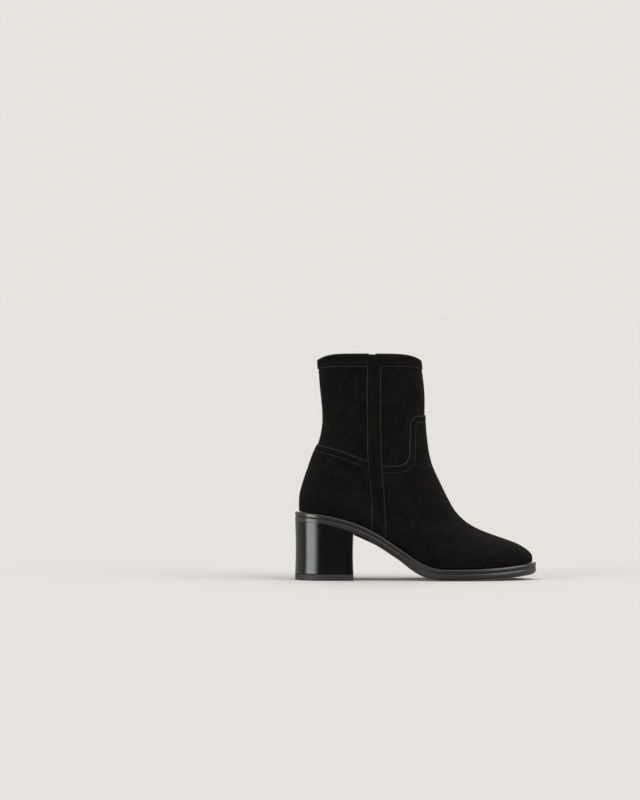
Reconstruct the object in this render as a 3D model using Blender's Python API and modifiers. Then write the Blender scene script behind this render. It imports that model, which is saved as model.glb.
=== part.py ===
"""Zip ankle boot for the right foot: suede upper, welted sole and a lacquered block heel.

X runs from heel to toe, Y from the outer side to the inner side and Z up.
The origin is the middle of the heel's tread, on the floor. Sizes are in metres.
"""
import bmesh
import bpy
import numpy as np
from mathutils import Vector

for old in list(bpy.data.objects):
    bpy.data.objects.remove(old)

# Sole and heel
SOLE_LENGTH = 0.2412
BALL_WIDTH = 0.0860
SEAT_WIDTH = 0.0610
HEEL_RISE = 0.0568
TOE_SPRING = 0.0060
WELT_THICK = 0.0041
OUTSOLE_EDGE = 0.0042
OUTSOLE_BEVEL = 0.0026
BEVEL_INSET = 0.0034
EDGE_ROUND = 0.0007
WAIST_THINNING = 0.14
HEEL_LENGTH = 0.0582
HEEL_HOLLOW = 0.0006
TOP_PIECE_THICK = 0.0062

# Upper
BOOT_HEIGHT = 0.2196
COLLAR_LENGTH = 0.1023
COLLAR_WIDTH = 0.0684
COLLAR_ARCH = 0.0058
WALL = 0.0018
OVERLAY = 0.0008
STRIP_EXTRA = 0.0003
WELT_MARGIN = 0.0040
TOE_SWING = 0.0030
INSOLE_THICK = 0.0025
INSOLE_INSET = 0.0016
INSOLE_CHAMFER = 0.0008

# Panels
STRIP_WIDTH = 0.0143
BINDING_DEPTH = 0.0126
BINDING_RISE = 0.0030
TONGUE_RADIUS = 0.0115

# Zip
ZIP_SLOT = 0.0070
ZIP_TAPE_THICK = 0.0004
ZIP_TEETH_WIDTH = 0.0042
ZIP_TEETH_THICK = 0.0009
ZIP_TOP_MARGIN = 0.0030
SLIDER_LENGTH = 0.0100
SLIDER_WIDTH = 0.0076
SLIDER_PLATE = 0.0011
SLIDER_DROP = 0.0140
BRIDGE_WIDTH = 0.0016
BRIDGE_WIRE = 0.0009
PULL_LENGTH = 0.0260
PULL_WIDTH = 0.0062
PULL_THICK = 0.0010
PULL_EYE = 0.0026
PULL_BAR = 0.0012

# Clearances
FIT_GAP = 0.0003
SEAT_GAP = 0.0006

# Places along an upper's section where its half widths are given, as shares of its length
SEAT_AT = 0.12
WAIST_AT = 0.42
BALL_AT = 0.68

# Share of the first section's rise that the panels' lower edge stands above the welt
PANEL_START = 0.15

# Break in the outsole's bevel: shares of the bevel's inset and of its depth
BEVEL_BREAK = (0.60, 0.75)

# Shapes of the slider and the pull, as shares of their half widths
PLATE_FOOT = 0.70
PULL_NECK = 0.80
PULL_TIP = 0.85

# Mesh density, and the angles in degrees past which an edge stays sharp
SIDE_STEPS = 26
WALL_ROWS = 19
SLAB_STEPS = 28
OUTLINE_STEPS = 14
ARC_STEPS = 9
WALL_SHARP = 40
SLAB_SHARP = 35

# Height of the welt's top along the sole: share of the sole's length, share of the heel rise
SOLE_LINE = (
    (0.00, 1.000),
    (0.10, 0.960),
    (0.23, 0.830),
    (0.33, 0.640),
    (0.43, 0.365),
    (0.53, 0.090),
    (0.57, 0.028),
    (0.62, 0.000),
    (0.68, 0.000),
    (1.00, 0.000),
)
SPRING_START = 0.68
SPRING_POWER = 2.0
WAIST_SPAN = (0.24, 0.56)

# Outline of the welt: half widths at seat, waist and ball as shares of the ball's half width
SOLE_PLAN = {
    "waist_out": 0.720,
    "waist_in": 0.600,
    "ball_out": 0.975,
    "ball_in": 1.025,
    "tail": 0.130,
    "nose": 0.345,
}

# Sections of the upper from the welt to the collar, one row each.
# back_rise, front_rise: share of the height from the welt to the collar
# back_set: share of the foot's length that the back lies ahead of the heel's rearmost point
# shaft: how far lengths and widths follow the collar (1) and not the foot (0)
# length: share of that length; seat to ball_in: shares of that half width
# tail, nose: shares of the length that round off; sag: share of the sole line's dip
# arch: share of the collar's arch
SECTION_COLUMNS = (
    "back_rise", "back_set", "front_rise", "shaft", "length", "seat", "waist_out", "waist_in",
    "ball_out", "ball_in", "tail", "nose", "sag", "arch", "swing",
)
SECTIONS = (
    (0.000, 0.000, 0.000, 0.00, 1.000, 0.590, 0.595, 0.477, 0.842, 0.888, 0.12, 0.340, 1.00, 0.0, 1.0),
    (0.031, -0.001, 0.028, 0.00, 1.002, 0.623, 0.623, 0.512, 0.865, 0.907, 0.125, 0.340, 0.98, 0.0, 1.0),
    (0.064, -0.001, 0.053, 0.00, 0.987, 0.647, 0.633, 0.552, 0.870, 0.898, 0.13, 0.345, 0.93, 0.0, 1.0),
    (0.110, 0.001, 0.092, 0.00, 0.929, 0.651, 0.628, 0.580, 0.828, 0.842, 0.135, 0.345, 0.82, 0.0, 1.0),
    (0.162, 0.009, 0.136, 0.10, 0.862, 0.641, 0.625, 0.600, 0.765, 0.774, 0.14, 0.300, 0.64, 0.0, 0.8),
    (0.222, 0.021, 0.196, 0.25, 0.808, 0.632, 0.625, 0.618, 0.720, 0.725, 0.15, 0.280, 0.44, 0.0, 0.6),
    (0.295, 0.038, 0.288, 0.45, 0.815, 0.649, 0.661, 0.651, 0.713, 0.713, 0.17, 0.270, 0.26, 0.0, 0.3),
    (0.381, 0.058, 0.407, 0.65, 0.843, 0.692, 0.740, 0.729, 0.740, 0.735, 0.21, 0.290, 0.12, 0.0, 0.1),
    (0.480, 0.083, 0.526, 0.85, 0.899, 0.777, 0.845, 0.834, 0.811, 0.806, 0.28, 0.340, 0.03, 0.0, 0.0),
    (0.639, 0.095, 0.687, 1.00, 1.004, 0.906, 0.930, 0.924, 0.912, 0.912, 0.40, 0.440, 0.00, 0.1, 0.0),
    (0.805, 0.086, 0.835, 1.00, 1.021, 0.971, 0.971, 0.971, 0.971, 0.971, 0.47, 0.480, 0.00, 0.5, 0.0),
    (1.000, 0.077, 1.000, 1.00, 1.000, 1.000, 1.000, 1.000, 1.000, 1.000, 0.50, 0.500, 0.00, 1.0, 0.0),
)

# Middle line of the side strip and the zip: share of the boot's height, share of the sole's length
STRIP_LINE = (
    (0.150, 0.3490),
    (0.380, 0.3422),
    (0.460, 0.3350),
    (0.580, 0.3285),
    (0.840, 0.3251),
    (1.060, 0.3289),
)
# Top edge of the counter: share of the sole's length, share of the boot's height
COUNTER_EDGE = (
    (-0.050, 0.618),
    (0.085, 0.616),
    (0.180, 0.594),
    (0.290, 0.549),
    (0.340, 0.528),
)
# Corners of the vamp's top edge, from the strip to the front, same shares
VAMP_CORNERS = (
    (0.340, 0.522),
    (0.469, 0.524),
    (0.474, 0.750),
    (0.600, 0.750),
)
ZIP_END = 0.300

# Worked out from the sizes above
SOLE_DEPTH = WELT_THICK + FIT_GAP + OUTSOLE_EDGE + OUTSOLE_BEVEL
SOLE_BACK = -HEEL_LENGTH / 2
BREAST = HEEL_LENGTH / 2
LAST_ROW = len(SECTIONS) - 1
OVERLAY_RISE = FIT_GAP + OVERLAY
UPPER_INSET = WELT_MARGIN + OVERLAY_RISE
UPPER_BACK = SOLE_BACK + UPPER_INSET
UPPER_LENGTH = SOLE_LENGTH - 2 * UPPER_INSET


def through(table, where):
    """Monotone cubic through the (place, value) rows of a table, held level past its ends."""
    places, values = (np.array(column, dtype=float) for column in zip(*table))
    where = np.clip(np.asarray(where, dtype=float), places[0], places[-1])
    steps = np.diff(places)
    slopes = np.diff(values) / steps
    tangents = np.zeros_like(values)
    tangents[0], tangents[-1] = slopes[0], slopes[-1]
    before, after = slopes[:-1], slopes[1:]
    weight_before = 2 * steps[1:] + steps[:-1]
    weight_after = steps[1:] + 2 * steps[:-1]
    same_way = before * after > 0
    safe_before = np.where(same_way, before, 1.0)
    safe_after = np.where(same_way, after, 1.0)
    mean = (weight_before + weight_after) / (weight_before / safe_before + weight_after / safe_after)
    tangents[1:-1] = np.where(same_way, mean, 0.0)
    cell = np.clip(np.searchsorted(places, where, side="right") - 1, 0, len(steps) - 1)
    step = steps[cell]
    t = (where - places[cell]) / step
    return (
        values[cell] * (1 + 2 * t) * (1 - t) ** 2
        + values[cell + 1] * t ** 2 * (3 - 2 * t)
        + step * tangents[cell] * t * (1 - t) ** 2
        + step * tangents[cell + 1] * t ** 2 * (t - 1)
    )


def smooth_rows(values, row):
    """Natural cubic spline through values at rows 0, 1, 2 and so on."""
    values = np.asarray(values, dtype=float)
    count = len(values)
    matrix = np.eye(count)
    bend = np.zeros(count)
    for i in range(1, count - 1):
        matrix[i, i - 1:i + 2] = (1, 4, 1)
        bend[i] = 6 * (values[i + 1] - 2 * values[i] + values[i - 1])
    bend = np.linalg.solve(matrix, bend)
    low = np.clip(np.floor(row).astype(int), 0, count - 2)
    t = row - low
    return (
        (1 - t) * values[low] + t * values[low + 1]
        + ((1 - t) ** 3 - (1 - t)) * bend[low] / 6
        + (t ** 3 - t) * bend[low + 1] / 6
    )


def sole_top(x):
    """Height of the welt's top at x: flat under the ball, up to the heel, and the toe's spring."""
    share = (np.asarray(x) - SOLE_BACK) / SOLE_LENGTH
    spring = np.clip((share - SPRING_START) / (1 - SPRING_START), 0, None) ** SPRING_POWER
    return SOLE_DEPTH + HEEL_RISE * through(SOLE_LINE, share) + TOE_SPRING * spring


def sole_under(x, depth):
    """Height at x of a layer that lies depth below the welt's top, square to the sole."""
    step = SOLE_LENGTH / 400
    slope = (sole_top(x + step) - sole_top(x - step)) / (2 * step)
    share = (np.asarray(x) - SOLE_BACK) / SOLE_LENGTH
    start, stop = WAIST_SPAN
    waist = np.sin(np.pi * np.clip((share - start) / (stop - start), 0, 1)) ** 2
    return sole_top(x) - depth * np.sqrt(1 + slope ** 2) * (1 - WAIST_THINNING * waist)


def rounding(share, tail, nose):
    """Share of the full half width left at a place: both ends are quarter ellipses."""
    back = np.clip(1 - share / tail, 0, 1)
    front = np.clip(1 - (1 - share) / nose, 0, 1)
    return np.sqrt((1 - back ** 2) * (1 - front ** 2))


def body_half(share, seat, waist, ball):
    """Half width along a section before its ends are rounded, eased between three places."""
    def ease(start, stop):
        t = np.clip((share - start) / (stop - start), 0, 1)
        return t * t * (3 - 2 * t)
    return seat + (waist - seat) * ease(SEAT_AT, WAIST_AT) + (ball - waist) * ease(WAIST_AT, BALL_AT)


def side_rise(rounded):
    """How far a line round the collar has risen from its low front and back to its sides, 0 to 1."""
    return 1 - (1 - rounded ** 2) ** 3


def section_values(row):
    """Each column of the section table at a row number, whole or between two rows."""
    return {name: smooth_rows(column, row) for name, column in zip(SECTION_COLUMNS, zip(*SECTIONS))}


def wall_point(turn, row):
    """Point of the upper's outer face.

    turn runs once round a section from the back, by the outer side, to the toe and home.
    row runs from 0 at the welt to the last row at the collar. A section joins a point of the
    back outline to a point of the front outline, dips with the sole and arches at the collar.
    """
    turn, row = np.broadcast_arrays(np.asarray(turn, dtype=float) % 1.0, np.asarray(row, dtype=float))
    value = section_values(row)
    share = (1 - np.cos(2 * np.pi * turn)) / 2
    shaft = value["shaft"]
    length = value["length"] * ((1 - shaft) * UPPER_LENGTH + shaft * COLLAR_LENGTH)
    half = ((1 - shaft) * BALL_WIDTH + shaft * COLLAR_WIDTH) / 2
    x = UPPER_BACK + value["back_set"] * UPPER_LENGTH + share * length
    rounded = rounding(share, value["tail"], value["nose"])
    outer = body_half(share, value["seat"], value["waist_out"], value["ball_out"]) * half * rounded
    inner = body_half(share, value["seat"], value["waist_in"], value["ball_in"]) * half * rounded
    middle = TOE_SWING * value["swing"] * share ** 2
    y = middle + np.where(turn < 0.5, -outer, inner)
    seat_top = sole_top(UPPER_BACK) + SEAT_GAP
    toe_top = sole_top(UPPER_BACK + UPPER_LENGTH) + SEAT_GAP
    back = seat_top + value["back_rise"] * (BOOT_HEIGHT - seat_top)
    front = toe_top + value["front_rise"] * (BOOT_HEIGHT - toe_top)
    straight = seat_top + share * (toe_top - seat_top)
    dip = sole_top(UPPER_BACK + share * UPPER_LENGTH) + SEAT_GAP - straight
    arch = COLLAR_ARCH * value["arch"] * side_rise(rounded)
    z = back + share * (front - back) + value["sag"] * dip + arch
    return np.stack((x, y, z), axis=-1)


def wall_normal(turn, row):
    """Outward unit normal of the upper's face, from its steps along and across a section."""
    step = 0.002
    along = wall_point(turn + step, row) - wall_point(turn - step, row)
    above = wall_point(turn, np.clip(row + step, 0, LAST_ROW))
    below = wall_point(turn, np.clip(row - step, 0, LAST_ROW))
    normal = np.cross(along, above - below)
    return normal / np.linalg.norm(normal, axis=-1, keepdims=True)


def wall_loops(offset):
    """Closed loops of the upper's face moved out by offset, from the welt to the collar.

    A panel laid on the wall starts a little higher, because its lower edge leans down.
    """
    turns = np.arange(2 * SIDE_STEPS) / (2 * SIDE_STEPS)
    rows = np.linspace(0, LAST_ROW, WALL_ROWS)
    rows[0] = PANEL_START if offset > 0 else 0
    turn, row = np.meshgrid(turns, rows)
    return wall_point(turn, row) + offset * wall_normal(turn, row)


def inner_side_y(x, z):
    """Y of the shaft's inner side at a place seen from the side, from a close net of its points."""
    turn, row = np.meshgrid(np.linspace(0.55, 0.95, 161), np.linspace(LAST_ROW / 2, LAST_ROW, 241))
    points = wall_point(turn, row).reshape(-1, 3)
    nearest = np.argmin((points[:, 0] - x) ** 2 + (points[:, 2] - z) ** 2)
    return points[nearest, 1]


def strip_middle(z):
    """X of the middle of the side strip and the zip at height z."""
    return SOLE_BACK + SOLE_LENGTH * through(STRIP_LINE, np.asarray(z) / BOOT_HEIGHT)


def plan_loop(inset, stop=None):
    """Outer and inner halves of the sole's outline moved in by inset, cut square at x = stop."""
    back = SOLE_BACK + inset
    length = SOLE_LENGTH - 2 * inset
    t = np.arange(SLAB_STEPS + 1) / SLAB_STEPS
    if stop is None:
        x = back + length * (1 - np.cos(np.pi * t)) / 2
    else:
        x = back + (stop - back) * (1 - np.cos(np.pi / 2 * t))
    share = np.clip((x - back) / length, 0, 1)
    half = BALL_WIDTH / 2
    rounded = rounding(share, SOLE_PLAN["tail"], SOLE_PLAN["nose"])
    halves = []
    for side, waist, ball in ((-1, "waist_out", "ball_out"), (1, "waist_in", "ball_in")):
        body = body_half(share, SEAT_WIDTH / 2, SOLE_PLAN[waist] * half, SOLE_PLAN[ball] * half)
        y = TOE_SWING * share ** 2 + side * (body - inset) * rounded
        halves.append(np.stack((x, y), axis=-1))
    return halves


parts = bpy.data.collections.new("zip_ankle_boot")
cutters = bpy.data.collections.new("cutters")
for collection in (parts, cutters):
    bpy.context.scene.collection.children.link(collection)


def finish(name, colour, roughness, metallic=0.0):
    """Principled material for one sub-part."""
    material = bpy.data.materials.new(name)
    material.use_nodes = True
    shader = material.node_tree.nodes["Principled BSDF"]
    shader.inputs["Base Color"].default_value = (*colour, 1.0)
    shader.inputs["Roughness"].default_value = roughness
    shader.inputs["Metallic"].default_value = metallic
    return material


def add_object(name, bm, material=None, smooth_angle=None):
    """Put a bmesh into a named object: a part if it has a material, else a cutter."""
    mesh = bpy.data.meshes.new(name)
    bm.to_mesh(mesh)
    bm.free()
    obj = bpy.data.objects.new(name, mesh)
    if material is None:
        cutters.objects.link(obj)
        obj.hide_render = True
        obj.display_type = "WIRE"
        return obj
    parts.objects.link(obj)
    mesh.materials.append(material)
    if smooth_angle is not None:
        mesh.shade_smooth()
        mesh.set_sharp_from_angle(angle=np.radians(smooth_angle))
    return obj


def add_wall(name, offset, thickness, outwards, material):
    """Lofted shell round the foot: an open surface between the sections, given its thickness."""
    loops = wall_loops(offset)
    bm = bmesh.new()
    rings = [[bm.verts.new(point) for point in loop] for loop in loops]
    count = len(rings[0])
    for lower, upper in zip(rings, rings[1:]):
        for i in range(count):
            j = (i + 1) % count
            bm.faces.new((lower[i], lower[j], upper[j], upper[i]))
    obj = add_object(name, bm, material, smooth_angle=WALL_SHARP)
    solid = obj.modifiers.new("wall", "SOLIDIFY")
    solid.thickness = thickness
    solid.offset = 1.0 if outwards else -1.0
    return obj


def extruded(outline, travel):
    """Closed bmesh of a flat outline of 3-D points carried along travel."""
    bm = bmesh.new()
    face = bm.faces.new([bm.verts.new(point) for point in outline])
    grown = bmesh.ops.extrude_face_region(bm, geom=[face])["geom"]
    moved = [item for item in grown if isinstance(item, bmesh.types.BMVert)]
    bmesh.ops.translate(bm, verts=moved, vec=travel)
    bmesh.ops.recalc_face_normals(bm, faces=bm.faces)
    return bm


def add_prism(name, outline, y_low, y_high):
    """Cutter: an outline in the side view carried straight across the boot."""
    points = [(x, y_low, z) for x, z in outline]
    return add_object(name, extruded(points, (0, y_high - y_low, 0)))


def cut(obj, cutter, operation):
    """Boolean modifier that keeps, takes away or joins the other object."""
    boolean = obj.modifiers.new(cutter.name, "BOOLEAN")
    boolean.object = cutter
    boolean.operation = operation
    boolean.solver = "EXACT"


def add_slab(name, levels, material, stop=None):
    """Sole layer: outlines stacked from top to bottom, closed by strips across the sole.

    A level is an inset of the outline and a function that gives its height from x.
    """
    bm = bmesh.new()
    rings = []
    for inset, height in levels:
        outer, inner = plan_loop(inset, stop)
        plan = np.concatenate((outer, inner[:0:-1]))
        heights = np.broadcast_to(height(plan[:, 0]), len(plan))
        rings.append([bm.verts.new((x, y, z)) for (x, y), z in zip(plan, heights)])
    count = len(rings[0])
    for upper, lower in zip(rings, rings[1:]):
        for i in range(count):
            j = (i + 1) % count
            bm.faces.new((upper[i], upper[j], lower[j], lower[i]))
    for ring in (rings[0], rings[-1]):
        for i in range(SLAB_STEPS):
            near, far = ring[i], ring[i + 1]
            opposite_near, opposite_far = ring[-i], ring[-i - 1]
            corners = (near, far, opposite_far, opposite_near)
            bm.faces.new(corners[:3] if i == 0 else corners)
    bmesh.ops.remove_doubles(bm, verts=bm.verts, dist=1e-6)
    bmesh.ops.recalc_face_normals(bm, faces=bm.faces)
    return add_object(name, bm, material, smooth_angle=SLAB_SHARP)


def side_outline(points):
    """Turn (share of sole length, share of boot height) pairs into x and z."""
    return [(SOLE_BACK + SOLE_LENGTH * reach, BOOT_HEIGHT * rise) for reach, rise in points]


def rounded_path(corners, radius, steps=6):
    """Open path through corners in the side view, each inner corner turned by a curve."""
    path = [np.array(corners[0])]
    for before, corner, after in zip(corners, corners[1:], corners[2:]):
        before, corner, after = (np.array(point) for point in (before, corner, after))
        entry = corner + (before - corner) * radius / np.linalg.norm(before - corner)
        leave = corner + (after - corner) * radius / np.linalg.norm(after - corner)
        for t in np.linspace(0, 1, steps):
            path.append((1 - t) ** 2 * entry + 2 * t * (1 - t) * corner + t ** 2 * leave)
    path.append(np.array(corners[-1]))
    return path


def strip_edge(side, low, high, extra=0.0):
    """Edge of the strip between two heights: side -1 is the heel's, +1 the toe's."""
    z = np.linspace(low, high, OUTLINE_STEPS)
    x = strip_middle(z) + side * (STRIP_WIDTH / 2 + extra)
    return list(zip(x, z))


# Suede, leather, lacquer and metal
suede = finish("black_suede", (0.012, 0.011, 0.009), 0.95)
sole_edge = finish("inked_leather_edge", (0.045, 0.043, 0.042), 0.50)
outsole_rubber = finish("black_outsole", (0.030, 0.029, 0.028), 0.60)
lacquer = finish("black_lacquered_heel", (0.010, 0.010, 0.010), 0.15)
lift_rubber = finish("black_top_piece", (0.030, 0.030, 0.030), 0.70)
sock_leather = finish("black_sock_leather", (0.020, 0.018, 0.016), 0.60)
zip_fabric = finish("black_zip_tape", (0.015, 0.015, 0.015), 0.85)
zip_metal = finish("dark_nickel", (0.150, 0.150, 0.155), 0.30, 1.0)

FAR = SOLE_LENGTH
SIDE_REACH = BALL_WIDTH


collar = section_values(LAST_ROW)
collar_back = UPPER_BACK + collar["back_set"] * UPPER_LENGTH - OVERLAY_RISE
collar_reach = COLLAR_LENGTH + 2 * OVERLAY_RISE


def collar_line(x, depth, rise):
    """Height of a line that runs depth under the collar's edge and arches by rise at the sides."""
    share = np.clip((x - collar_back) / collar_reach, 0, 1)
    rounded = rounding(share, collar["tail"], collar["nose"])
    return BOOT_HEIGHT + COLLAR_ARCH - depth - rise * (1 - side_rise(rounded))


# Upper: one lasted wall, open at the collar and underneath where the welt closes it
upper = add_wall("upper", 0.0, WALL, False, suede)

# Binding round the collar, open at the zip
binding_x = np.linspace(collar_back - STRIP_WIDTH, collar_back + collar_reach + STRIP_WIDTH, 40)
binding_low = list(zip(binding_x, collar_line(binding_x, BINDING_DEPTH, BINDING_RISE)))
top = BOOT_HEIGHT + 2 * COLLAR_ARCH
binding_outline = binding_low + [(binding_x[-1], top), (binding_x[0], top)]
binding = add_wall("collar_binding", FIT_GAP, OVERLAY, True, suede)
cut(binding, add_prism("binding_outline", binding_outline, -SIDE_REACH, SIDE_REACH), "INTERSECT")
slot_half = ZIP_SLOT / 2
slot_z = np.linspace(BOOT_HEIGHT * ZIP_END, top, OUTLINE_STEPS)
slot_x = strip_middle(slot_z)
slot_left = list(zip(slot_x - slot_half, slot_z))
slot_right = list(zip(slot_x + slot_half, slot_z))
slot_cutter = add_prism("zip_slot", slot_left + slot_right[::-1], 0, SIDE_REACH)
cut(binding, slot_cutter, "DIFFERENCE")

# Side strip on the outer side, from the welt to the binding
under_binding = BOOT_HEIGHT + COLLAR_ARCH - BINDING_DEPTH - FIT_GAP
strip_outline = strip_edge(-1, 0, under_binding) + strip_edge(1, 0, under_binding)[::-1]
strip = add_wall("side_strip", FIT_GAP, OVERLAY + STRIP_EXTRA, True, suede)
cut(strip, add_prism("strip_outline", strip_outline, -SIDE_REACH, 0), "INTERSECT")

# Zip facing on the inner side: the same strip with the zip's slot in it
facing = add_wall("zip_facing", FIT_GAP, OVERLAY + STRIP_EXTRA, True, suede)
cut(facing, add_prism("facing_outline", strip_outline, 0, SIDE_REACH), "INTERSECT")
cut(facing, slot_cutter, "DIFFERENCE")

# Counter round the heel, up to the strip and the facing
counter_end = strip_middle(BOOT_HEIGHT * COUNTER_EDGE[-1][1]) - STRIP_WIDTH / 2 - FIT_GAP
counter_x = np.linspace(SOLE_BACK - STRIP_WIDTH, counter_end, OUTLINE_STEPS)
counter_z = BOOT_HEIGHT * through(COUNTER_EDGE, (counter_x - SOLE_BACK) / SOLE_LENGTH)
counter_top = list(zip(counter_x, counter_z))[:-1]
counter_outline = [(counter_x[0], 0)] + strip_edge(-1, 0, counter_z[-1], extra=FIT_GAP) + counter_top[::-1]
counter = add_wall("heel_counter", FIT_GAP, OVERLAY, True, suede)
cut(counter, add_prism("counter_outline", counter_outline, -SIDE_REACH, SIDE_REACH), "INTERSECT")

# Vamp over the forefoot with its tongue up the front
vamp_path = rounded_path(side_outline(VAMP_CORNERS), TONGUE_RADIUS)
vamp_back = strip_edge(1, 0, vamp_path[0][1], extra=FIT_GAP)
vamp_top = [tuple(point) for point in vamp_path if point[0] > vamp_back[-1][0] + FIT_GAP]
vamp_outline = vamp_back + vamp_top + [(FAR, vamp_top[-1][1]), (FAR, 0)]
vamp = add_wall("vamp", FIT_GAP, OVERLAY, True, suede)
cut(vamp, add_prism("vamp_outline", vamp_outline, -SIDE_REACH, SIDE_REACH), "INTERSECT")


zip_low = BOOT_HEIGHT * ZIP_END + FIT_GAP
zip_high = BOOT_HEIGHT + COLLAR_ARCH - ZIP_TOP_MARGIN


def add_zip_strip(name, half, offset, thickness, material):
    """Strip of the zip along its slot on the inner side."""
    z = np.linspace(zip_low, zip_high, OUTLINE_STEPS)
    x = strip_middle(z)
    outline = list(zip(x - half, z)) + list(zip(x + half, z))[::-1]
    piece = add_wall(name, offset, thickness, True, material)
    cut(piece, add_prism(name + "_outline", outline, 0, SIDE_REACH), "INTERSECT")
    return piece


# Zip tape and teeth
add_zip_strip("zip_tape", slot_half - FIT_GAP, FIT_GAP, ZIP_TAPE_THICK, zip_fabric)
teeth_offset = 2 * FIT_GAP + ZIP_TAPE_THICK
add_zip_strip("zip_teeth", ZIP_TEETH_WIDTH / 2, teeth_offset, ZIP_TEETH_THICK, zip_metal)


def arc(centre, radius, start, stop):
    """Points of an arc in a plane, angles in degrees."""
    angles = np.radians(np.linspace(start, stop, ARC_STEPS))
    return [(centre[0] + radius * np.cos(a), centre[1] + radius * np.sin(a)) for a in angles]


# Slider: a shield-shaped plate over the teeth, with a bridge that holds the pull
bridge_inner = np.hypot(PULL_BAR, PULL_THICK) / 2 + FIT_GAP
bridge_outer = bridge_inner + BRIDGE_WIRE
hinge_z = zip_high - SLIDER_DROP
hinge_x = float(strip_middle(hinge_z))
plate_low_y = inner_side_y(hinge_x, hinge_z) + teeth_offset + ZIP_TEETH_THICK + FIT_GAP
plate_high_y = plate_low_y + SLIDER_PLATE
hinge_y = plate_high_y + PULL_THICK / 2 + FIT_GAP
hinge = Vector((hinge_x, hinge_y, hinge_z))
half_long = SLIDER_LENGTH / 2
half_wide = SLIDER_WIDTH / 2
foot = half_wide * PLATE_FOOT
plate_plan = arc((0, half_long - half_wide), half_wide, 0, 180) + arc((0, foot - half_long), foot, 180, 360)
slider_outline = [(hinge_x + x, plate_low_y, hinge_z + z) for x, z in plate_plan]
slider = add_object("zip_slider", extruded(slider_outline, (0, SLIDER_PLATE, 0)), zip_metal, SLAB_SHARP)
foot_y = plate_high_y - SLIDER_PLATE / 2 - hinge_y
bridge_outline = [(foot_y, -bridge_outer)] + arc((0, 0), bridge_outer, -90, 90)
bridge_outline += [(foot_y, bridge_outer), (foot_y, bridge_inner)]
bridge_outline += arc((0, 0), bridge_inner, 90, -90) + [(foot_y, -bridge_inner)]
bridge_points = [(hinge_x - BRIDGE_WIDTH / 2, hinge_y + y, hinge_z + z) for y, z in bridge_outline]
bridge = add_object("bridge", extruded(bridge_points, (BRIDGE_WIDTH, 0, 0)))
cut(slider, bridge, "UNION")

# Pull: a flat tab that hangs from the bar of its eye, which turns under the bridge
eye_half = PULL_EYE / 2
bar = PULL_BAR / 2
pull_half = PULL_WIDTH / 2
neck_half = pull_half * PULL_NECK
tip_radius = pull_half * PULL_TIP
pull_plan = [(-neck_half, bar), (-pull_half, -bar - PULL_EYE)]
pull_plan += arc((0, tip_radius - PULL_LENGTH), tip_radius, 180, 360)
pull_plan += [(pull_half, -bar - PULL_EYE), (neck_half, bar)]
pull_outline = [(x, -PULL_THICK / 2, z) for x, z in pull_plan]
pull = add_object("zip_pull", extruded(pull_outline, (0, PULL_THICK, 0)), zip_metal, SLAB_SHARP)
pull.location = hinge
eye_plan = ((-eye_half, -bar), (-eye_half, -bar - PULL_EYE), (eye_half, -bar - PULL_EYE), (eye_half, -bar))
eye_outline = [(x, -PULL_THICK, z) for x, z in eye_plan]
eye = add_object("pull_eye", extruded(eye_outline, (0, 2 * PULL_THICK, 0)))
eye.location = hinge
cut(pull, eye, "DIFFERENCE")


def layer(depth):
    """Height function of a sole layer at a depth under the welt's top."""
    return lambda x: sole_under(x, depth)


def level(height):
    """Height function of a flat level."""
    return lambda x: np.full(len(x), height)


# Insole on the welt, inside the upper's lower edge
insole_inset = UPPER_INSET + WALL + INSOLE_INSET
insole_low = -SEAT_GAP
insole_levels = (
    (insole_inset + INSOLE_CHAMFER, layer(insole_low - INSOLE_THICK)),
    (insole_inset, layer(insole_low)),
)
add_slab("insole", insole_levels, sock_leather)

# Welt: the slab whose edge runs all round the boot
welt_levels = (
    (EDGE_ROUND, layer(0)),
    (0.0, layer(EDGE_ROUND)),
    (0.0, layer(WELT_THICK - EDGE_ROUND)),
    (EDGE_ROUND, layer(WELT_THICK)),
)
add_slab("welt", welt_levels, sole_edge)

# Outsole: an upright edge, then a bevel in to the tread, which stops at the heel's breast
outsole_top = WELT_THICK + FIT_GAP
seat_depth = outsole_top + OUTSOLE_EDGE
break_in, break_down = BEVEL_BREAK
outsole_levels = (
    (EDGE_ROUND, layer(outsole_top)),
    (0.0, layer(outsole_top + EDGE_ROUND)),
    (0.0, layer(seat_depth)),
    (BEVEL_INSET * break_in, layer(seat_depth + OUTSOLE_BEVEL * break_down)),
    (BEVEL_INSET, layer(SOLE_DEPTH)),
)
outsole = add_slab("outsole", outsole_levels, outsole_rubber)
seat_cutter_levels = (
    (-SEAT_WIDTH, layer(seat_depth)),
    (-SEAT_WIDTH, layer(seat_depth + SOLE_DEPTH)),
)
cut(outsole, add_slab("heel_seat", seat_cutter_levels, None, stop=BREAST + FIT_GAP), "DIFFERENCE")

# Heel block under the seat and its top piece on the floor
block_low = TOP_PIECE_THICK + FIT_GAP
block_mid = (block_low + HEEL_RISE) / 2
heel_levels = (
    (0.0, layer(seat_depth + FIT_GAP)),
    (HEEL_HOLLOW, level(block_mid)),
    (0.0, level(block_low)),
)
add_slab("heel_block", heel_levels, lacquer, stop=BREAST)
add_slab("top_piece", ((0.0, level(TOP_PIECE_THICK)), (0.0, level(0.0))), lift_rubber, stop=BREAST)
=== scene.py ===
"""Looks of the zip ankle boot, right foot: suede upper, welted sole and lacquered block heel.

The script runs down the boot as it is put together. X runs from heel to toe, Y from the outer
side to the inner side and Z up, in metres.
"""
import math

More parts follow.
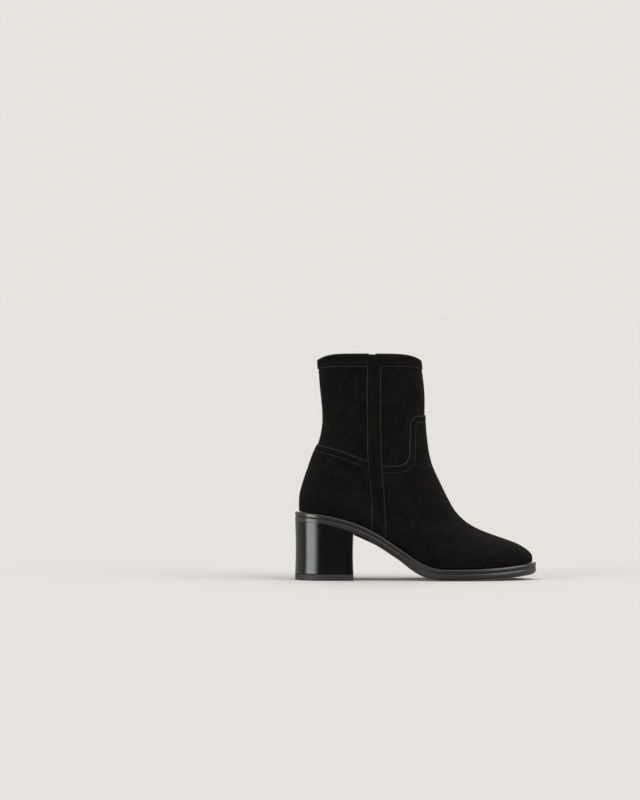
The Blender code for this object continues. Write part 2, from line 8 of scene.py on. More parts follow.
import bmesh
import bpy
import numpy as np
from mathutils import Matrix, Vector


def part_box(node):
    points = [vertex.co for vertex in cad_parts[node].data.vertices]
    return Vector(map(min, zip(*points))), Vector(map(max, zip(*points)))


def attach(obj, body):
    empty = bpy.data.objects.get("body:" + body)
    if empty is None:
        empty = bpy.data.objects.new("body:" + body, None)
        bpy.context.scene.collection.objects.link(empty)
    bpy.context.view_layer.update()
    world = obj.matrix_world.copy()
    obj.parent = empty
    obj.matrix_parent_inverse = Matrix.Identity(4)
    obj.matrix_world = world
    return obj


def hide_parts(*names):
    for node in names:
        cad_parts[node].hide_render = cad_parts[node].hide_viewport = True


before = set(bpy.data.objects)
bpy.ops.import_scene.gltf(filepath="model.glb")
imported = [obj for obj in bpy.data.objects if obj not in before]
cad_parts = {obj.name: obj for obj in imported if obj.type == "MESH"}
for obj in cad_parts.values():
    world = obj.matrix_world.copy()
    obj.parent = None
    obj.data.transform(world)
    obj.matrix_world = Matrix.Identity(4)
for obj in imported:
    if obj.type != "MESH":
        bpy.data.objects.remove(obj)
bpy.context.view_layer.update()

# Sole line: the top of the welt, which every other piece of the bottom follows.
# It stands level under the ball, climbs through the arch to the heel seat, and springs at the toe.
welt_low, welt_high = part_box("welt")
SOLE_LENGTH = welt_high.x - welt_low.x
SOLE_BACK = welt_low.x
BALL_WIDTH = 0.0860
SEAT_WIDTH = 0.0610
HEEL_RISE = 0.0568
TOE_SPRING = 0.0060
TOE_SWING = 0.0030
WELT_THICK = 0.0041
OUTSOLE_EDGE = 0.0042
OUTSOLE_BEVEL = 0.0026
BEVEL_INSET = 0.0034
LAYER_GAP = 0.0003
SOLE_DEPTH = WELT_THICK + LAYER_GAP + OUTSOLE_EDGE + OUTSOLE_BEVEL
WAIST_THINNING = 0.14
WAIST_SPAN = (0.24, 0.56)
SPRING_START = 0.68
SPRING_POWER = 2.0
# Share of the sole's length, share of the heel rise
SOLE_LINE = (
    (0.00, 1.000), (0.10, 0.960), (0.23, 0.830), (0.33, 0.640), (0.43, 0.365),
    (0.53, 0.090), (0.57, 0.028), (0.62, 0.000), (0.68, 0.000), (1.00, 0.000),
)


def through(table, where):
    """Monotone cubic through the (place, value) rows of a table, held level past its ends."""
    places, values = np.array(table, dtype=float).T
    where = np.clip(where, places[0], places[-1])
    steps = np.diff(places)
    slopes = np.diff(values) / steps
    before, after = slopes[:-1], slopes[1:]
    near, far = 2 * steps[1:] + steps[:-1], steps[1:] + 2 * steps[:-1]
    same_way = before * after > 0
    mean = (near + far) / (near / np.where(same_way, before, 1.0) + far / np.where(same_way, after, 1.0))
    tangents = np.concatenate((slopes[:1], np.where(same_way, mean, 0.0), slopes[-1:]))
    cell = np.clip(np.searchsorted(places, where, side="right") - 1, 0, len(steps) - 1)
    t = (where - places[cell]) / steps[cell]
    return (
        values[cell] * (1 + 2 * t) * (1 - t) ** 2 + values[cell + 1] * t ** 2 * (3 - 2 * t)
        + steps[cell] * t * (1 - t) * (tangents[cell] * (1 - t) - tangents[cell + 1] * t)
    )


def sole_top(x):
    """Height of the welt's top: the sole line times the heel rise, plus the toe's rising power."""
    share = (np.asarray(x) - SOLE_BACK) / SOLE_LENGTH
    spring = np.clip((share - SPRING_START) / (1 - SPRING_START), 0, None) ** SPRING_POWER
    return SOLE_DEPTH + HEEL_RISE * through(SOLE_LINE, share) + TOE_SPRING * spring


def sole_under(x, depth):
    """Height of a layer that lies depth below the welt's top, measured square to the sole."""
    step = SOLE_LENGTH / 400
    slope = (sole_top(x + step) - sole_top(x - step)) / (2 * step)
    share = (np.asarray(x) - SOLE_BACK) / SOLE_LENGTH
    start, stop = WAIST_SPAN
    waist = np.sin(np.pi * np.clip((share - start) / (stop - start), 0, 1)) ** 2
    return sole_top(x) - depth * np.sqrt(1 + slope ** 2) * (1 - WAIST_THINNING * waist)


def rounding(share, tail, nose):
    """Share of the full half width left at a place: both ends are quarter ellipses."""
    back = np.clip(1 - share / tail, 0, 1)
    front = np.clip(1 - (1 - share) / nose, 0, 1)
    return np.sqrt((1 - back ** 2) * (1 - front ** 2))


SEAT_AT, WAIST_AT, BALL_AT = 0.12, 0.42, 0.68


def body_half(share, seat, waist, ball):
    """Half width before the ends are rounded, eased from seat to waist to ball."""
    def ease(start, stop):
        t = np.clip((share - start) / (stop - start), 0, 1)
        return t * t * (3 - 2 * t)
    return seat + (waist - seat) * ease(SEAT_AT, WAIST_AT) + (ball - waist) * ease(WAIST_AT, BALL_AT)


# Last: the form that the whole upper is pulled over, as sections from the welt to the collar.
# back_rise, front_rise and back_set place a section; shaft says how far it follows the collar.
BOOT_HEIGHT = 0.2196
COLLAR_LENGTH = 0.1023
COLLAR_WIDTH = 0.0684
COLLAR_ARCH = 0.0058
OVERLAY_RISE = 0.0011
UPPER_INSET = 0.0040 + OVERLAY_RISE
UPPER_BACK = SOLE_BACK + UPPER_INSET
UPPER_LENGTH = SOLE_LENGTH - 2 * UPPER_INSET
SEAT_GAP = 0.0006
SECTION_COLUMNS = (
    "back_rise", "back_set", "front_rise", "shaft", "length", "seat", "waist_out", "waist_in",
    "ball_out", "ball_in", "tail", "nose", "sag", "arch", "swing",
)
SECTIONS = (
    (0.000, 0.000, 0.000, 0.00, 1.000, 0.590, 0.595, 0.477, 0.842, 0.888, 0.12, 0.340, 1.00, 0.0, 1.0),
    (0.031, -0.001, 0.028, 0.00, 1.002, 0.623, 0.623, 0.512, 0.865, 0.907, 0.125, 0.340, 0.98, 0.0, 1.0),
    (0.064, -0.001, 0.053, 0.00, 0.987, 0.647, 0.633, 0.552, 0.870, 0.898, 0.13, 0.345, 0.93, 0.0, 1.0),
    (0.110, 0.001, 0.092, 0.00, 0.929, 0.651, 0.628, 0.580, 0.828, 0.842, 0.135, 0.345, 0.82, 0.0, 1.0),
    (0.162, 0.009, 0.136, 0.10, 0.862, 0.641, 0.625, 0.600, 0.765, 0.774, 0.14, 0.300, 0.64, 0.0, 0.8),
    (0.222, 0.021, 0.196, 0.25, 0.808, 0.632, 0.625, 0.618, 0.720, 0.725, 0.15, 0.280, 0.44, 0.0, 0.6),
    (0.295, 0.038, 0.288, 0.45, 0.815, 0.649, 0.661, 0.651, 0.713, 0.713, 0.17, 0.270, 0.26, 0.0, 0.3),
    (0.381, 0.058, 0.407, 0.65, 0.843, 0.692, 0.740, 0.729, 0.740, 0.735, 0.21, 0.290, 0.12, 0.0, 0.1),
    (0.480, 0.083, 0.526, 0.85, 0.899, 0.777, 0.845, 0.834, 0.811, 0.806, 0.28, 0.340, 0.03, 0.0, 0.0),
    (0.639, 0.095, 0.687, 1.00, 1.004, 0.906, 0.930, 0.924, 0.912, 0.912, 0.40, 0.440, 0.00, 0.1, 0.0),
    (0.805, 0.086, 0.835, 1.00, 1.021, 0.971, 0.971, 0.971, 0.971, 0.971, 0.47, 0.480, 0.00, 0.5, 0.0),
    (1.000, 0.077, 1.000, 1.00, 1.000, 1.000, 1.000, 1.000, 1.000, 1.000, 0.50, 0.500, 0.00, 1.0, 0.0),
)
LAST_ROW = len(SECTIONS) - 1


def smooth_rows(values, row):
    """Natural cubic spline through values at rows 0, 1, 2 and so on."""
    values = np.asarray(values, dtype=float)
    count = len(values)
    matrix = np.eye(count)
    bend = np.zeros(count)
    for i in range(1, count - 1):
        matrix[i, i - 1:i + 2] = (1, 4, 1)
        bend[i] = 6 * (values[i + 1] - 2 * values[i] + values[i - 1])
    bend = np.linalg.solve(matrix, bend)
    low = np.clip(np.floor(row).astype(int), 0, count - 2)
    t = row - low
    return (
        (1 - t) * values[low] + t * values[low + 1]
        + ((1 - t) ** 3 - (1 - t)) * bend[low] / 6
        + (t ** 3 - t) * bend[low + 1] / 6
    )


def side_rise(rounded):
    """How far a line round the collar has risen from its low front and back to its sides."""
    return 1 - (1 - rounded ** 2) ** 3


def last_point(turn, row):
    """Point of the last.

    turn runs once round a section from the back, by the outer side, to the toe and home. row
    runs from 0 at the welt to 11 at the collar. A section is an eased body with ends rounded as
    ellipses, hung between a back and a front point, dipped with the sole and arched at the collar.
    """
    turn, row = np.broadcast_arrays(np.asarray(turn, dtype=float) % 1.0, np.asarray(row, dtype=float))
    value = {name: smooth_rows(column, row) for name, column in zip(SECTION_COLUMNS, zip(*SECTIONS))}
    share = (1 - np.cos(2 * np.pi * turn)) / 2
    shaft = value["shaft"]
    length = value["length"] * ((1 - shaft) * UPPER_LENGTH + shaft * COLLAR_LENGTH)
    half = ((1 - shaft) * BALL_WIDTH + shaft * COLLAR_WIDTH) / 2
    x = UPPER_BACK + value["back_set"] * UPPER_LENGTH + share * length
    rounded = rounding(share, value["tail"], value["nose"])
    outer = body_half(share, value["seat"], value["waist_out"], value["ball_out"]) * half * rounded
    inner = body_half(share, value["seat"], value["waist_in"], value["ball_in"]) * half * rounded
    y = TOE_SWING * value["swing"] * share ** 2 + np.where(turn < 0.5, -outer, inner)
    seat_top = sole_top(UPPER_BACK) + SEAT_GAP
    toe_top = sole_top(UPPER_BACK + UPPER_LENGTH) + SEAT_GAP
    back = seat_top + value["back_rise"] * (BOOT_HEIGHT - seat_top)
    front = toe_top + value["front_rise"] * (BOOT_HEIGHT - toe_top)
    straight = seat_top + share * (toe_top - seat_top)
    dip = sole_top(UPPER_BACK + share * UPPER_LENGTH) + SEAT_GAP - straight
    arch = COLLAR_ARCH * value["arch"] * side_rise(rounded)
    z = back + share * (front - back) + value["sag"] * dip + arch
    return np.stack((x, y, z), axis=-1)


def unit(vectors):
    """Each vector divided by its length."""
    return vectors / np.linalg.norm(vectors, axis=-1, keepdims=True)


def last_steps(turn, row):
    """Steps of the last along a section and up the rows, and its outward normal, their cross product."""
    step = 0.002
    along = (last_point(turn + step, row) - last_point(turn - step, row)) / (2 * step)
    high = np.clip(row + step, 0, LAST_ROW)
    low = np.clip(row - step, 0, LAST_ROW)
    up = (last_point(turn, high) - last_point(turn, low)) / (high - low)[..., None]
    return along, up, unit(np.cross(along, up))


# Soft creases pressed into the suede, the same in every layer that lies there:
# turn and row of both ends, half width and depth. A depth below zero is a ridge.
CREASE_TURN = 0.300
CREASE_ROW = 0.020
CREASES = (
    (0.395, 6.90, 0.470, 6.45, 0.0050, 0.00040),
    (0.530, 6.45, 0.610, 6.95, 0.0050, 0.00040),
    (0.420, 6.05, 0.500, 5.75, 0.0060, 0.00035),
    (0.400, 7.70, 0.460, 7.35, 0.0055, -0.00030),
    (0.540, 7.40, 0.600, 7.75, 0.0055, -0.00030),
    (0.060, 8.05, 0.150, 7.70, 0.0060, 0.00040),
    (0.860, 7.75, 0.945, 8.05, 0.0060, 0.00040),
    (0.965, 8.60, 1.035, 8.60, 0.0070, 0.00035),
    (0.300, 3.20, 0.380, 4.30, 0.0080, 0.00035),
    (0.330, 2.70, 0.420, 3.60, 0.0080, -0.00025),
    (0.630, 4.20, 0.700, 3.20, 0.0080, 0.00035),
    (0.110, 9.10, 0.190, 9.40, 0.0090, 0.00030),
)


def crease_depth(turn, row):
    """Sum over the creases of depth times a bell of the distance to each crease's straight line."""
    turn, row = np.broadcast_arrays(np.asarray(turn, dtype=float), np.asarray(row, dtype=float))
    total = np.zeros(turn.shape)
    for turn_a, row_a, turn_b, row_b, width, depth in CREASES:
        middle = (turn_a + turn_b) / 2
        nearby = (turn - middle + 0.5) % 1.0 - 0.5 + middle
        line = np.array(((turn_b - turn_a) * CREASE_TURN, (row_b - row_a) * CREASE_ROW))
        away = np.stack(((nearby - turn_a) * CREASE_TURN, (row - row_a) * CREASE_ROW), axis=-1)
        reach = np.clip(away @ line / (line @ line), 0, 1)
        distance = np.linalg.norm(away - reach[..., None] * line, axis=-1)
        total += depth * np.exp(-(distance / width) ** 2)
    return total


def skin(turn, row, height=0.0):
    """Point of the upper at a height above the last: the last, less its creases, plus the height."""
    normal = last_steps(turn, row)[2]
    rise = np.asarray(height) - crease_depth(turn, row)
    return last_point(turn, row) + rise[..., None] * normal


# Shaft quarters: the suede wall that the overlays are stitched to, one lasted shell from the welt
# to the collar. The flesh side is out, so that its nap drinks the light.
WALL = 0.0018
SUEDE = 0.0011
QUARTER_COLUMNS = 420
QUARTER_ROWS = 150
RIM_BELOW = 0.036


def closed(index):
    """Grid of point numbers with its first column put again at its end."""
    return np.concatenate((index, index[..., :1]), axis=-1)


def grid_faces(index):
    """Quads between the points that a grid numbers, over its last two axes."""
    corners = (index[..., :-1, :-1], index[..., :-1, 1:], index[..., 1:, 1:], index[..., 1:, :-1])
    return np.stack(corners, axis=-1).reshape(-1, 4)


def shell_faces(rows, columns, around=False):
    """Quads of a closed double sheet: outer grid, inner grid turned over, and the rims between."""
    count = rows * columns
    index = np.arange(count).reshape(rows, columns)
    index = closed(index) if around else index
    outer = grid_faces(index)
    edges = [index[0, ::-1], index[-1]] + ([] if around else [index[:, 0], index[::-1, -1]])
    rims = [grid_faces(np.stack((edge, edge + count))) for edge in edges]
    return np.concatenate([outer, outer[:, ::-1] + count] + rims)


WELD = 1e-6


def outward(points, quads):
    """Quads of closed shells, turned so that their volume counts as positive.

    The volume has the sign of the sum over the quads of corner dot cross product of the diagonals.
    """
    corners = points[quads]
    across = np.cross(corners[:, 2] - corners[:, 0], corners[:, 3] - corners[:, 1])
    return quads if ((corners.mean(1) - points.mean(0)) * across).sum() > 0 else quads[:, ::-1]


def piece_mesh(name, points, quads, sharp=42, **values):
    """Mesh object at the origin from points and quads of closed shells, with any values by point.

    Points that fall together are joined, which closes edges and poles.
    """
    points = np.asarray(points, dtype=float).reshape(-1, 3)
    quads = outward(points, quads)
    mesh = bpy.data.meshes.new(name)
    mesh.vertices.add(len(points))
    mesh.vertices.foreach_set("co", points.astype(np.float32).ravel())
    mesh.loops.add(quads.size)
    mesh.loops.foreach_set("vertex_index", quads.ravel().astype(np.int32))
    mesh.polygons.add(len(quads))
    mesh.polygons.foreach_set("loop_start", (np.arange(len(quads)) * 4).astype(np.int32))
    mesh.update(calc_edges=True)
    for key, value in values.items():
        value = np.asarray(value, dtype=np.float32).ravel()
        mesh.attributes.new(key, "FLOAT", "POINT").data.foreach_set("value", value)
    joined = bmesh.new()
    joined.from_mesh(mesh)
    bmesh.ops.remove_doubles(joined, verts=joined.verts, dist=WELD)
    joined.to_mesh(mesh)
    joined.free()
    mesh.validate()
    mesh.shade_smooth()
    mesh.set_sharp_from_angle(angle=math.radians(sharp))
    piece = bpy.data.objects.new(name, mesh)
    bpy.context.scene.collection.objects.link(piece)
    return piece


def fit(piece, material, slot, *nodes, body="boot"):
    """Gives a piece its finish, seats it on its body and hides the solids it stands for."""
    piece.data.materials.append(material)
    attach(piece, body)
    if nodes:
        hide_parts(*nodes)


def ink(code):
    """Linear colour from an sRGB hex code."""
    parts = np.array([int(code[i:i + 2], 16) / 255 for i in (0, 2, 4)])
    line = np.where(parts <= 0.04045, parts / 12.92, ((parts + 0.055) / 1.055) ** 2.4)
    return (*line.tolist(), 1.0)


def add_node(material, kind, sockets, **settings):
    """Adds a shader node with its settings. Each socket gets a value, or a link from an output."""
    node = material.node_tree.nodes.new(kind)
    for key, value in settings.items():
        setattr(node, key, value)
    for key, value in sockets.items():
        if isinstance(value, bpy.types.NodeSocket):
            material.node_tree.links.new(value, node.inputs[key])
        else:
            node.inputs[key].default_value = value
    return node


SOCKET_NAMES = {"Specular_IOR_Level": "Specular IOR Level"}


def new_finish(name, **settings):
    """Material with a Principled shader, whose settings are named by their sockets."""
    material = bpy.data.materials.new(name)
    material.use_nodes = True
    shader = material.node_tree.nodes["Principled BSDF"]
    for key, value in settings.items():
        shader.inputs[SOCKET_NAMES.get(key, key.replace("_", " "))].default_value = value
    return material, shader


def feed(shader, socket, output):
    """Links an output into a socket of the shader."""
    shader.id_data.links.new(output, shader.inputs[socket])


def noise(material, size, detail, stretch=(1.0, 1.0, 1.0), **sockets):
    """Noise with blots about as wide as size, in the piece's own metres, stretched by axis."""
    metres = add_node(material, "ShaderNodeTexCoord", {}).outputs["Object"]
    place = add_node(material, "ShaderNodeMapping", {"Vector": metres, "Scale": stretch}).outputs[0]
    sockets.update({"Vector": place, "Scale": 1 / size, "Detail": detail})
    return add_node(material, "ShaderNodeTexNoise", sockets).outputs[0]


def colour_ramp(material, value, stops):
    """Colour that follows a value through (place, sRGB code) stops."""
    ramp = add_node(material, "ShaderNodeValToRGB", {"Fac": value})
    for place, _ in stops[1:-1]:
        ramp.color_ramp.elements.new(place)
    for element, (place, code) in zip(ramp.color_ramp.elements, stops):
        element.position = place
        element.color = ink(code)
    return ramp.outputs[0]


def bumped(material, shader, height, strength, distance, **under):
    """Feeds the shader a bump of a texture, laid over another bump if one is given."""
    sockets = {"Height": height, "Strength": strength, "Distance": distance, **under}
    bump = add_node(material, "ShaderNodeBump", sockets).outputs[0]
    feed(shader, "Normal", bump)
    return bump


def glossed(material, shader, value, low, high):
    """Feeds the shader a roughness that wanders between two values with a texture."""
    gloss = add_node(material, "ShaderNodeMapRange", {"Value": value, "To Min": low, "To Max": high})
    feed(shader, "Roughness", gloss.outputs[0])


# Suede split, aniline dyed black and brushed. The nap scatters nearly all light, so it is matt and
# deep, with a fine salt-and-pepper grain and faint cloudy patches where the nap lies over. Along each
# cut edge a paler line is painted, partly the cut's own paler tone and partly a painted highlight.
# The grain is drawn a little coarser than its fibres, so that it shows.
NAP_CLOUD = 0.012
NAP_STREAK = 0.0022
NAP_GRAIN = 0.0017
NAP_FIBRE = 0.0005


def brushed_suede(name, deep, lifted, cut):
    """Grainy mix of two blacks, streaked the way the nap is brushed, with a fibre bump and a painted
    highlight along cut edges, partly their paler tone.
    """
    suede, shader = new_finish(
        name, Roughness=0.92, Specular_IOR_Level=0.12, Sheen_Weight=0.08, Sheen_Roughness=0.45,
        Sheen_Tint=ink("8c8473"),
    )
    cloud = noise(suede, NAP_CLOUD, 3.0, Roughness=0.6)
    streak = noise(suede, NAP_STREAK, 2.0, (1.0, 1.0, 0.35))
    grain = noise(suede, NAP_GRAIN, 3.0, Roughness=0.7)
    fibre = noise(suede, NAP_FIBRE, 4.0, Roughness=0.75)
    broad = add_node(suede, "ShaderNodeMix", {0: 0.5, 2: cloud, 3: streak})
    mixed = add_node(suede, "ShaderNodeMix", {0: 0.5, 2: broad.outputs[0], 3: grain})
    nap = colour_ramp(suede, mixed.outputs[0], ((0.42, deep), (0.58, lifted)))
    # A value on the points paints a highlight along each cut edge, partly the cut's paler tone, mottled by
    # the streaks.
    edge = add_node(suede, "ShaderNodeAttribute", {}, attribute_name="cut_edge").outputs["Fac"]
    edge_highlight_share = add_node(suede, "ShaderNodeMath", {0: edge, 1: streak}, operation="MULTIPLY").outputs[0]
    tone = add_node(suede, "ShaderNodeMix", {"Factor": edge_highlight_share, 6: nap, 7: ink(cut)}, data_type="RGBA")
    feed(shader, "Base Color", tone.outputs[2])
    low = bumped(suede, shader, cloud, 0.35, 0.0006)
    bumped(suede, shader, fibre, 0.60, 0.0003, Normal=low)
    return suede


# The third colour is the painted edge highlight, partly the cut's paler tone.
suede = brushed_suede("black_suede_split", "060504", "161410", "5c5850")

turns = np.arange(QUARTER_COLUMNS) / QUARTER_COLUMNS
rows = np.linspace(0, LAST_ROW - RIM_BELOW, QUARTER_ROWS)
turn, row = np.meshgrid(turns, rows)
quarters = piece_mesh(
    "shaft_quarters",
    np.concatenate((skin(turn, row), skin(turn, row, -SUEDE))),
    shell_faces(QUARTER_ROWS, QUARTER_COLUMNS, True),
)
fit(quarters, suede, "black_suede", "upper")


# Lining: glove leather skived thin and cemented inside the suede, from the insole to the binding.
# Its finish is smooth and faintly waxy.
LINING_COLUMNS = 220
LINING_ROWS = 80
GRAIN = 0.0012


def smooth_leather(name, colour, roughness):
    """One dark colour with a fine pebbled grain in the bump and a little unevenness in the gloss."""
    leather, shader = new_finish(name, Base_Color=ink(colour), Roughness=roughness)
    metres = add_node(leather, "ShaderNodeTexCoord", {}).outputs["Object"]
    pebble = add_node(leather, "ShaderNodeTexVoronoi", {"Vector": metres, "Scale": 1 / GRAIN})
    glossed(leather, shader, noise(leather, NAP_CLOUD, 3.0), roughness - 0.08, roughness + 0.08)
    bumped(leather, shader, pebble.outputs[0], 0.25, 0.0002)
    return leather


lining_leather = smooth_leather("black_glove_leather", "1c1a18", 0.55)
turn, row = np.meshgrid(
    np.arange(LINING_COLUMNS) / LINING_COLUMNS, np.linspace(0, LAST_ROW - RIM_BELOW, LINING_ROWS)
)
lining = piece_mesh(
    "lining",
    np.concatenate((skin(turn, row, -SUEDE), skin(turn, row, -WALL))),
    shell_faces(LINING_ROWS, LINING_COLUMNS, True),
)
fit(lining, lining_leather, "sock_leather", "upper")


# Side strip: a narrow band of suede down the outer side from the binding to the welt, laid over
# the joint of the front and back quarters and stitched down both edges.
OVERLAY = 0.0011
STRIP_EXTRA = 0.0003
STRIP_WIDTH = 0.0143
BINDING_DEPTH = 0.0126
BINDING_RISE = 0.0030
PANEL_START = 0.15
CUT_ROUND = 0.0005
EDGE_HIGHLIGHT_WIDTH = 0.00060
STITCH_IN = 0.0009
TROUGH_HALF = 0.0007
TROUGH_DEPTH = 0.00032
# Share of the boot's height, share of the sole's length
STRIP_LINE = (
    (0.150, 0.3490), (0.380, 0.3422), (0.460, 0.3350), (0.580, 0.3285), (0.840, 0.3251), (1.060, 0.3289),
)


def strip_middle(z):
    """X of the middle of the strip at a height."""
    return SOLE_BACK + SOLE_LENGTH * through(STRIP_LINE, np.asarray(z) / BOOT_HEIGHT)


def crossing(rising, low, high, rounds=36):
    """Where a rising function passes zero between low and high, found by halving the span."""
    low, high = np.broadcast_arrays(np.asarray(low, dtype=float), np.asarray(high, dtype=float))
    for _ in range(rounds):
        middle = (low + high) / 2
        under = rising(middle) < 0
        low, high = np.where(under, middle, low), np.where(under, high, middle)
    return (low + high) / 2


def strip_side(offset, inner=False):
    """Turn, as a function of row, of the strip's middle line moved forwards by offset.

    The line is found once on a close ladder of rows and read off it by straight steps.
    """
    ladder = np.linspace(0, LAST_ROW, 600)

    def ahead(share):
        point = last_point(1 - share if inner else share, ladder)
        return point[..., 0] - strip_middle(point[..., 2]) - offset

    share = crossing(ahead, np.zeros_like(ladder), np.full_like(ladder, 0.5))
    turns = 1 - share if inner else share
    return lambda row: np.interp(row, ladder, turns)


def collar_line(x, depth, rise):
    """Height of a line that runs depth under the collar's edge and arches by rise at the sides."""
    back = UPPER_BACK + SECTIONS[-1][1] * UPPER_LENGTH - OVERLAY_RISE
    share = np.clip((x - back) / (COLLAR_LENGTH + 2 * OVERLAY_RISE), 0, 1)
    return BOOT_HEIGHT + COLLAR_ARCH - depth - rise * (1 - side_rise(rounding(share, 0.5, 0.5)))


def row_at_height(turn, height):
    """Row at which the last reaches a height, itself a function of x, at each turn."""
    def above(row):
        point = last_point(turn, row)
        return point[..., 2] - height(point[..., 0])
    return crossing(above, np.zeros_like(turn), np.full_like(turn, LAST_ROW))


def edge_distance(points, edge, chunk=3000):
    """Distance of each point to an edge, the least over the straight pieces between its points."""
    start, span = edge[:-1], np.diff(edge, axis=0)
    square = np.maximum((span ** 2).sum(-1), 1e-18)
    flat = points.reshape(-1, 3)
    found = []
    for i in range(0, len(flat), chunk):
        away = flat[i:i + chunk, None] - start
        reach = np.clip((away * span).sum(-1) / square, 0, 1)
        found.append(np.sqrt(((away - reach[..., None] * span) ** 2).sum(-1).min(1)))
    return np.concatenate(found).reshape(points.shape[:-1])


def panel_height(distance, thick, rows_of_thread=(STITCH_IN,)):
    """Height of a panel: a quarter round at its cut edge, less a bell-shaped trough at each seam."""
    away = np.clip(distance / CUT_ROUND, 0, 1)
    height = thick * np.sqrt(1 - (1 - away) ** 2)
    for seam in rows_of_thread:
        height = height - TROUGH_DEPTH * np.exp(-((distance - seam) / TROUGH_HALF) ** 2)
    return np.maximum(height, 0.0)


# Strengths of the painted highlight along cut edges, partly their paler tone, set by how the edges face the
# light: upright edges, level edges and the binding's lower edge.
UPRIGHT_EDGE_HIGHLIGHT = 0.8
LEVEL_EDGE_HIGHLIGHT = 0.4
COLLAR_EDGE_HIGHLIGHT = 0.2


def edge_highlight_strength(distance, highlight_strength):
    """Strength of the painted highlight along a panel's cut edge, partly the cut's paler tone: a bell of
    the distance to it.
    """
    return highlight_strength * np.exp(-(distance / EDGE_HIGHLIGHT_WIDTH) ** 2)


def gathered(shells):
    """Points, quads and any values by point of a list of closed shells, put together."""
    columns = list(zip(*shells))
    starts = np.cumsum([0] + [len(points) for points in columns[0][:-1]])
    columns[1] = [quads + start for quads, start in zip(columns[1], starts)]
    return [np.concatenate(column) for column in columns]


def panel(name, node, nets, thick, rows_of_thread=(STITCH_IN,), highlight_strength=LEVEL_EDGE_HIGHLIGHT):
    """Panel of suede on the upper: closed sheets over nets of turns and rows.

    Each net comes with its cut edges, and its height and its painted edge highlight are worked out from its
    distance to them.
    """
    sheets = []
    for turn, row, edges in nets:
        base = skin(turn, row)
        distance = np.min([edge_distance(base, skin(*edge)) for edge in edges], axis=0)
        top = skin(turn, row, panel_height(distance, thick, rows_of_thread))
        # Painted highlight along the cut edges, partly their paler tone.
        cut = np.tile(edge_highlight_strength(distance, highlight_strength), (2, 1)).ravel()
        sheets.append((np.concatenate((top, base)).reshape(-1, 3), shell_faces(*turn.shape), cut))
    points, quads, cut = gathered(sheets)
    fit(piece_mesh(name, points, quads, cut_edge=cut), suede, "black_suede", node)


def ruled(left, right, rows, count, power=1.5):
    """Net between two edges that share their rows, crowded towards both by a power."""
    t = np.linspace(-1, 1, count)
    across = (1 + np.sign(t) * (1 - (1 - np.abs(t)) ** power)) / 2
    return left[:, None] + across * (right - left)[:, None], np.repeat(rows[:, None], count, axis=1)


UNDER_BINDING = 0.002
strip_top = float(row_at_height(
    np.array(0.25), lambda x: collar_line(x, BINDING_DEPTH - UNDER_BINDING, BINDING_RISE)
))
strip_rows = np.linspace(PANEL_START, strip_top, 240)

# Bonded polyester thread, twisted from three plies and a little waxed, so that each stitch catches
# a grey light against the matt suede.
THREAD_PLY = 0.0004
thread, shader = new_finish(
    "black_bonded_thread", Base_Color=ink("24221f"), Roughness=0.48, Sheen_Weight=0.25, Sheen_Roughness=0.4
)
bumped(thread, shader, noise(thread, THREAD_PLY, 2.0), 0.5, 0.0001)

STITCH_PITCH = 0.0027
STITCH_LONG = 0.0021
THREAD_HALF = 0.00030
STITCH_SINK = 0.00028
STITCH_RINGS = 7
STITCH_AROUND = 6
THREAD_LIFT = 0.45
SEAM_START = 0.1
SEAM_STOP = 0.02


def moved_over(turn, row, distance, side, steps=6):
    """Path moved sideways over the last by a distance: up from a run round the boot if side is 1.

    Each short step goes along side times normal cross run, written as shares of the last's steps.
    """
    for _ in range(steps):
        along, up, normal = last_steps(turn, row)
        run = unit(np.gradient(last_point(turn, row), axis=0))
        step = side * distance / steps * np.cross(normal, run)
        aa, bb, ab = (along * along).sum(-1), (up * up).sum(-1), (along * up).sum(-1)
        sa, sb = (step * along).sum(-1), (step * up).sum(-1)
        det = aa * bb - ab * ab
        turn = turn + (sa * bb - sb * ab) / det
        row = row + (sb * aa - sa * ab) / det
    return turn, row


def run_length(path):
    """Length of a path up to each of its points."""
    return np.concatenate(([0], np.cumsum(np.linalg.norm(np.diff(path, axis=0), axis=1))))


def tubes(points):
    """Points and quads of one grid of points, or of many, that closes on itself across."""
    index = np.arange(points.size // 3).reshape(points.shape[:-1])
    return points.reshape(-1, 3), grid_faces(closed(index))


def stitched(name, runs, height):
    """Stitches along paths of turn and row, at a height over the last.

    Each is a capsule whose middle follows the path, sunk at both ends by a quartic, and whose
    radius is a rounded power of the place along it.
    """
    shells = []
    rings = np.linspace(0, 1, STITCH_RINGS)
    away = np.abs(2 * rings - 1)
    swell = (1 - away ** 3) ** 0.5
    angle = np.arange(STITCH_AROUND) / STITCH_AROUND * 2 * np.pi
    for turn, row in runs:
        reach = run_length(last_point(turn, row))
        number = int(reach[-1] / STITCH_PITCH)
        start = (np.arange(number) + 0.5) * reach[-1] / number - STITCH_LONG / 2
        place = start[:, None] + rings * STITCH_LONG
        at_turn, at_row = np.interp(place, reach, turn), np.interp(place, reach, row)
        normal = last_steps(at_turn, at_row)[2]
        centre = skin(at_turn, at_row, height - STITCH_SINK * away ** 4)
        side = np.cross(normal, unit(np.gradient(centre, axis=1)))
        wheel = np.cos(angle)[:, None] * side[..., None, :] + np.sin(angle)[:, None] * normal[..., None, :]
        shells.append(tubes(centre[..., None, :] + THREAD_HALF * swell[:, None, None] * wheel))
    fit(piece_mesh(name, *gathered(shells)), thread, "black_suede")


def on_panel(thick):
    """Height of a thread's middle in the trough of a panel."""
    return thick - TROUGH_DEPTH + THREAD_HALF * THREAD_LIFT


def strip_seams(offsets, inner, low=PANEL_START):
    """Straight seams up the strip at offsets from its middle line."""
    at_rows = np.linspace(low + SEAM_START, strip_top - SEAM_STOP, 400)
    return [(strip_side(offset, inner)(at_rows), at_rows) for offset in offsets]


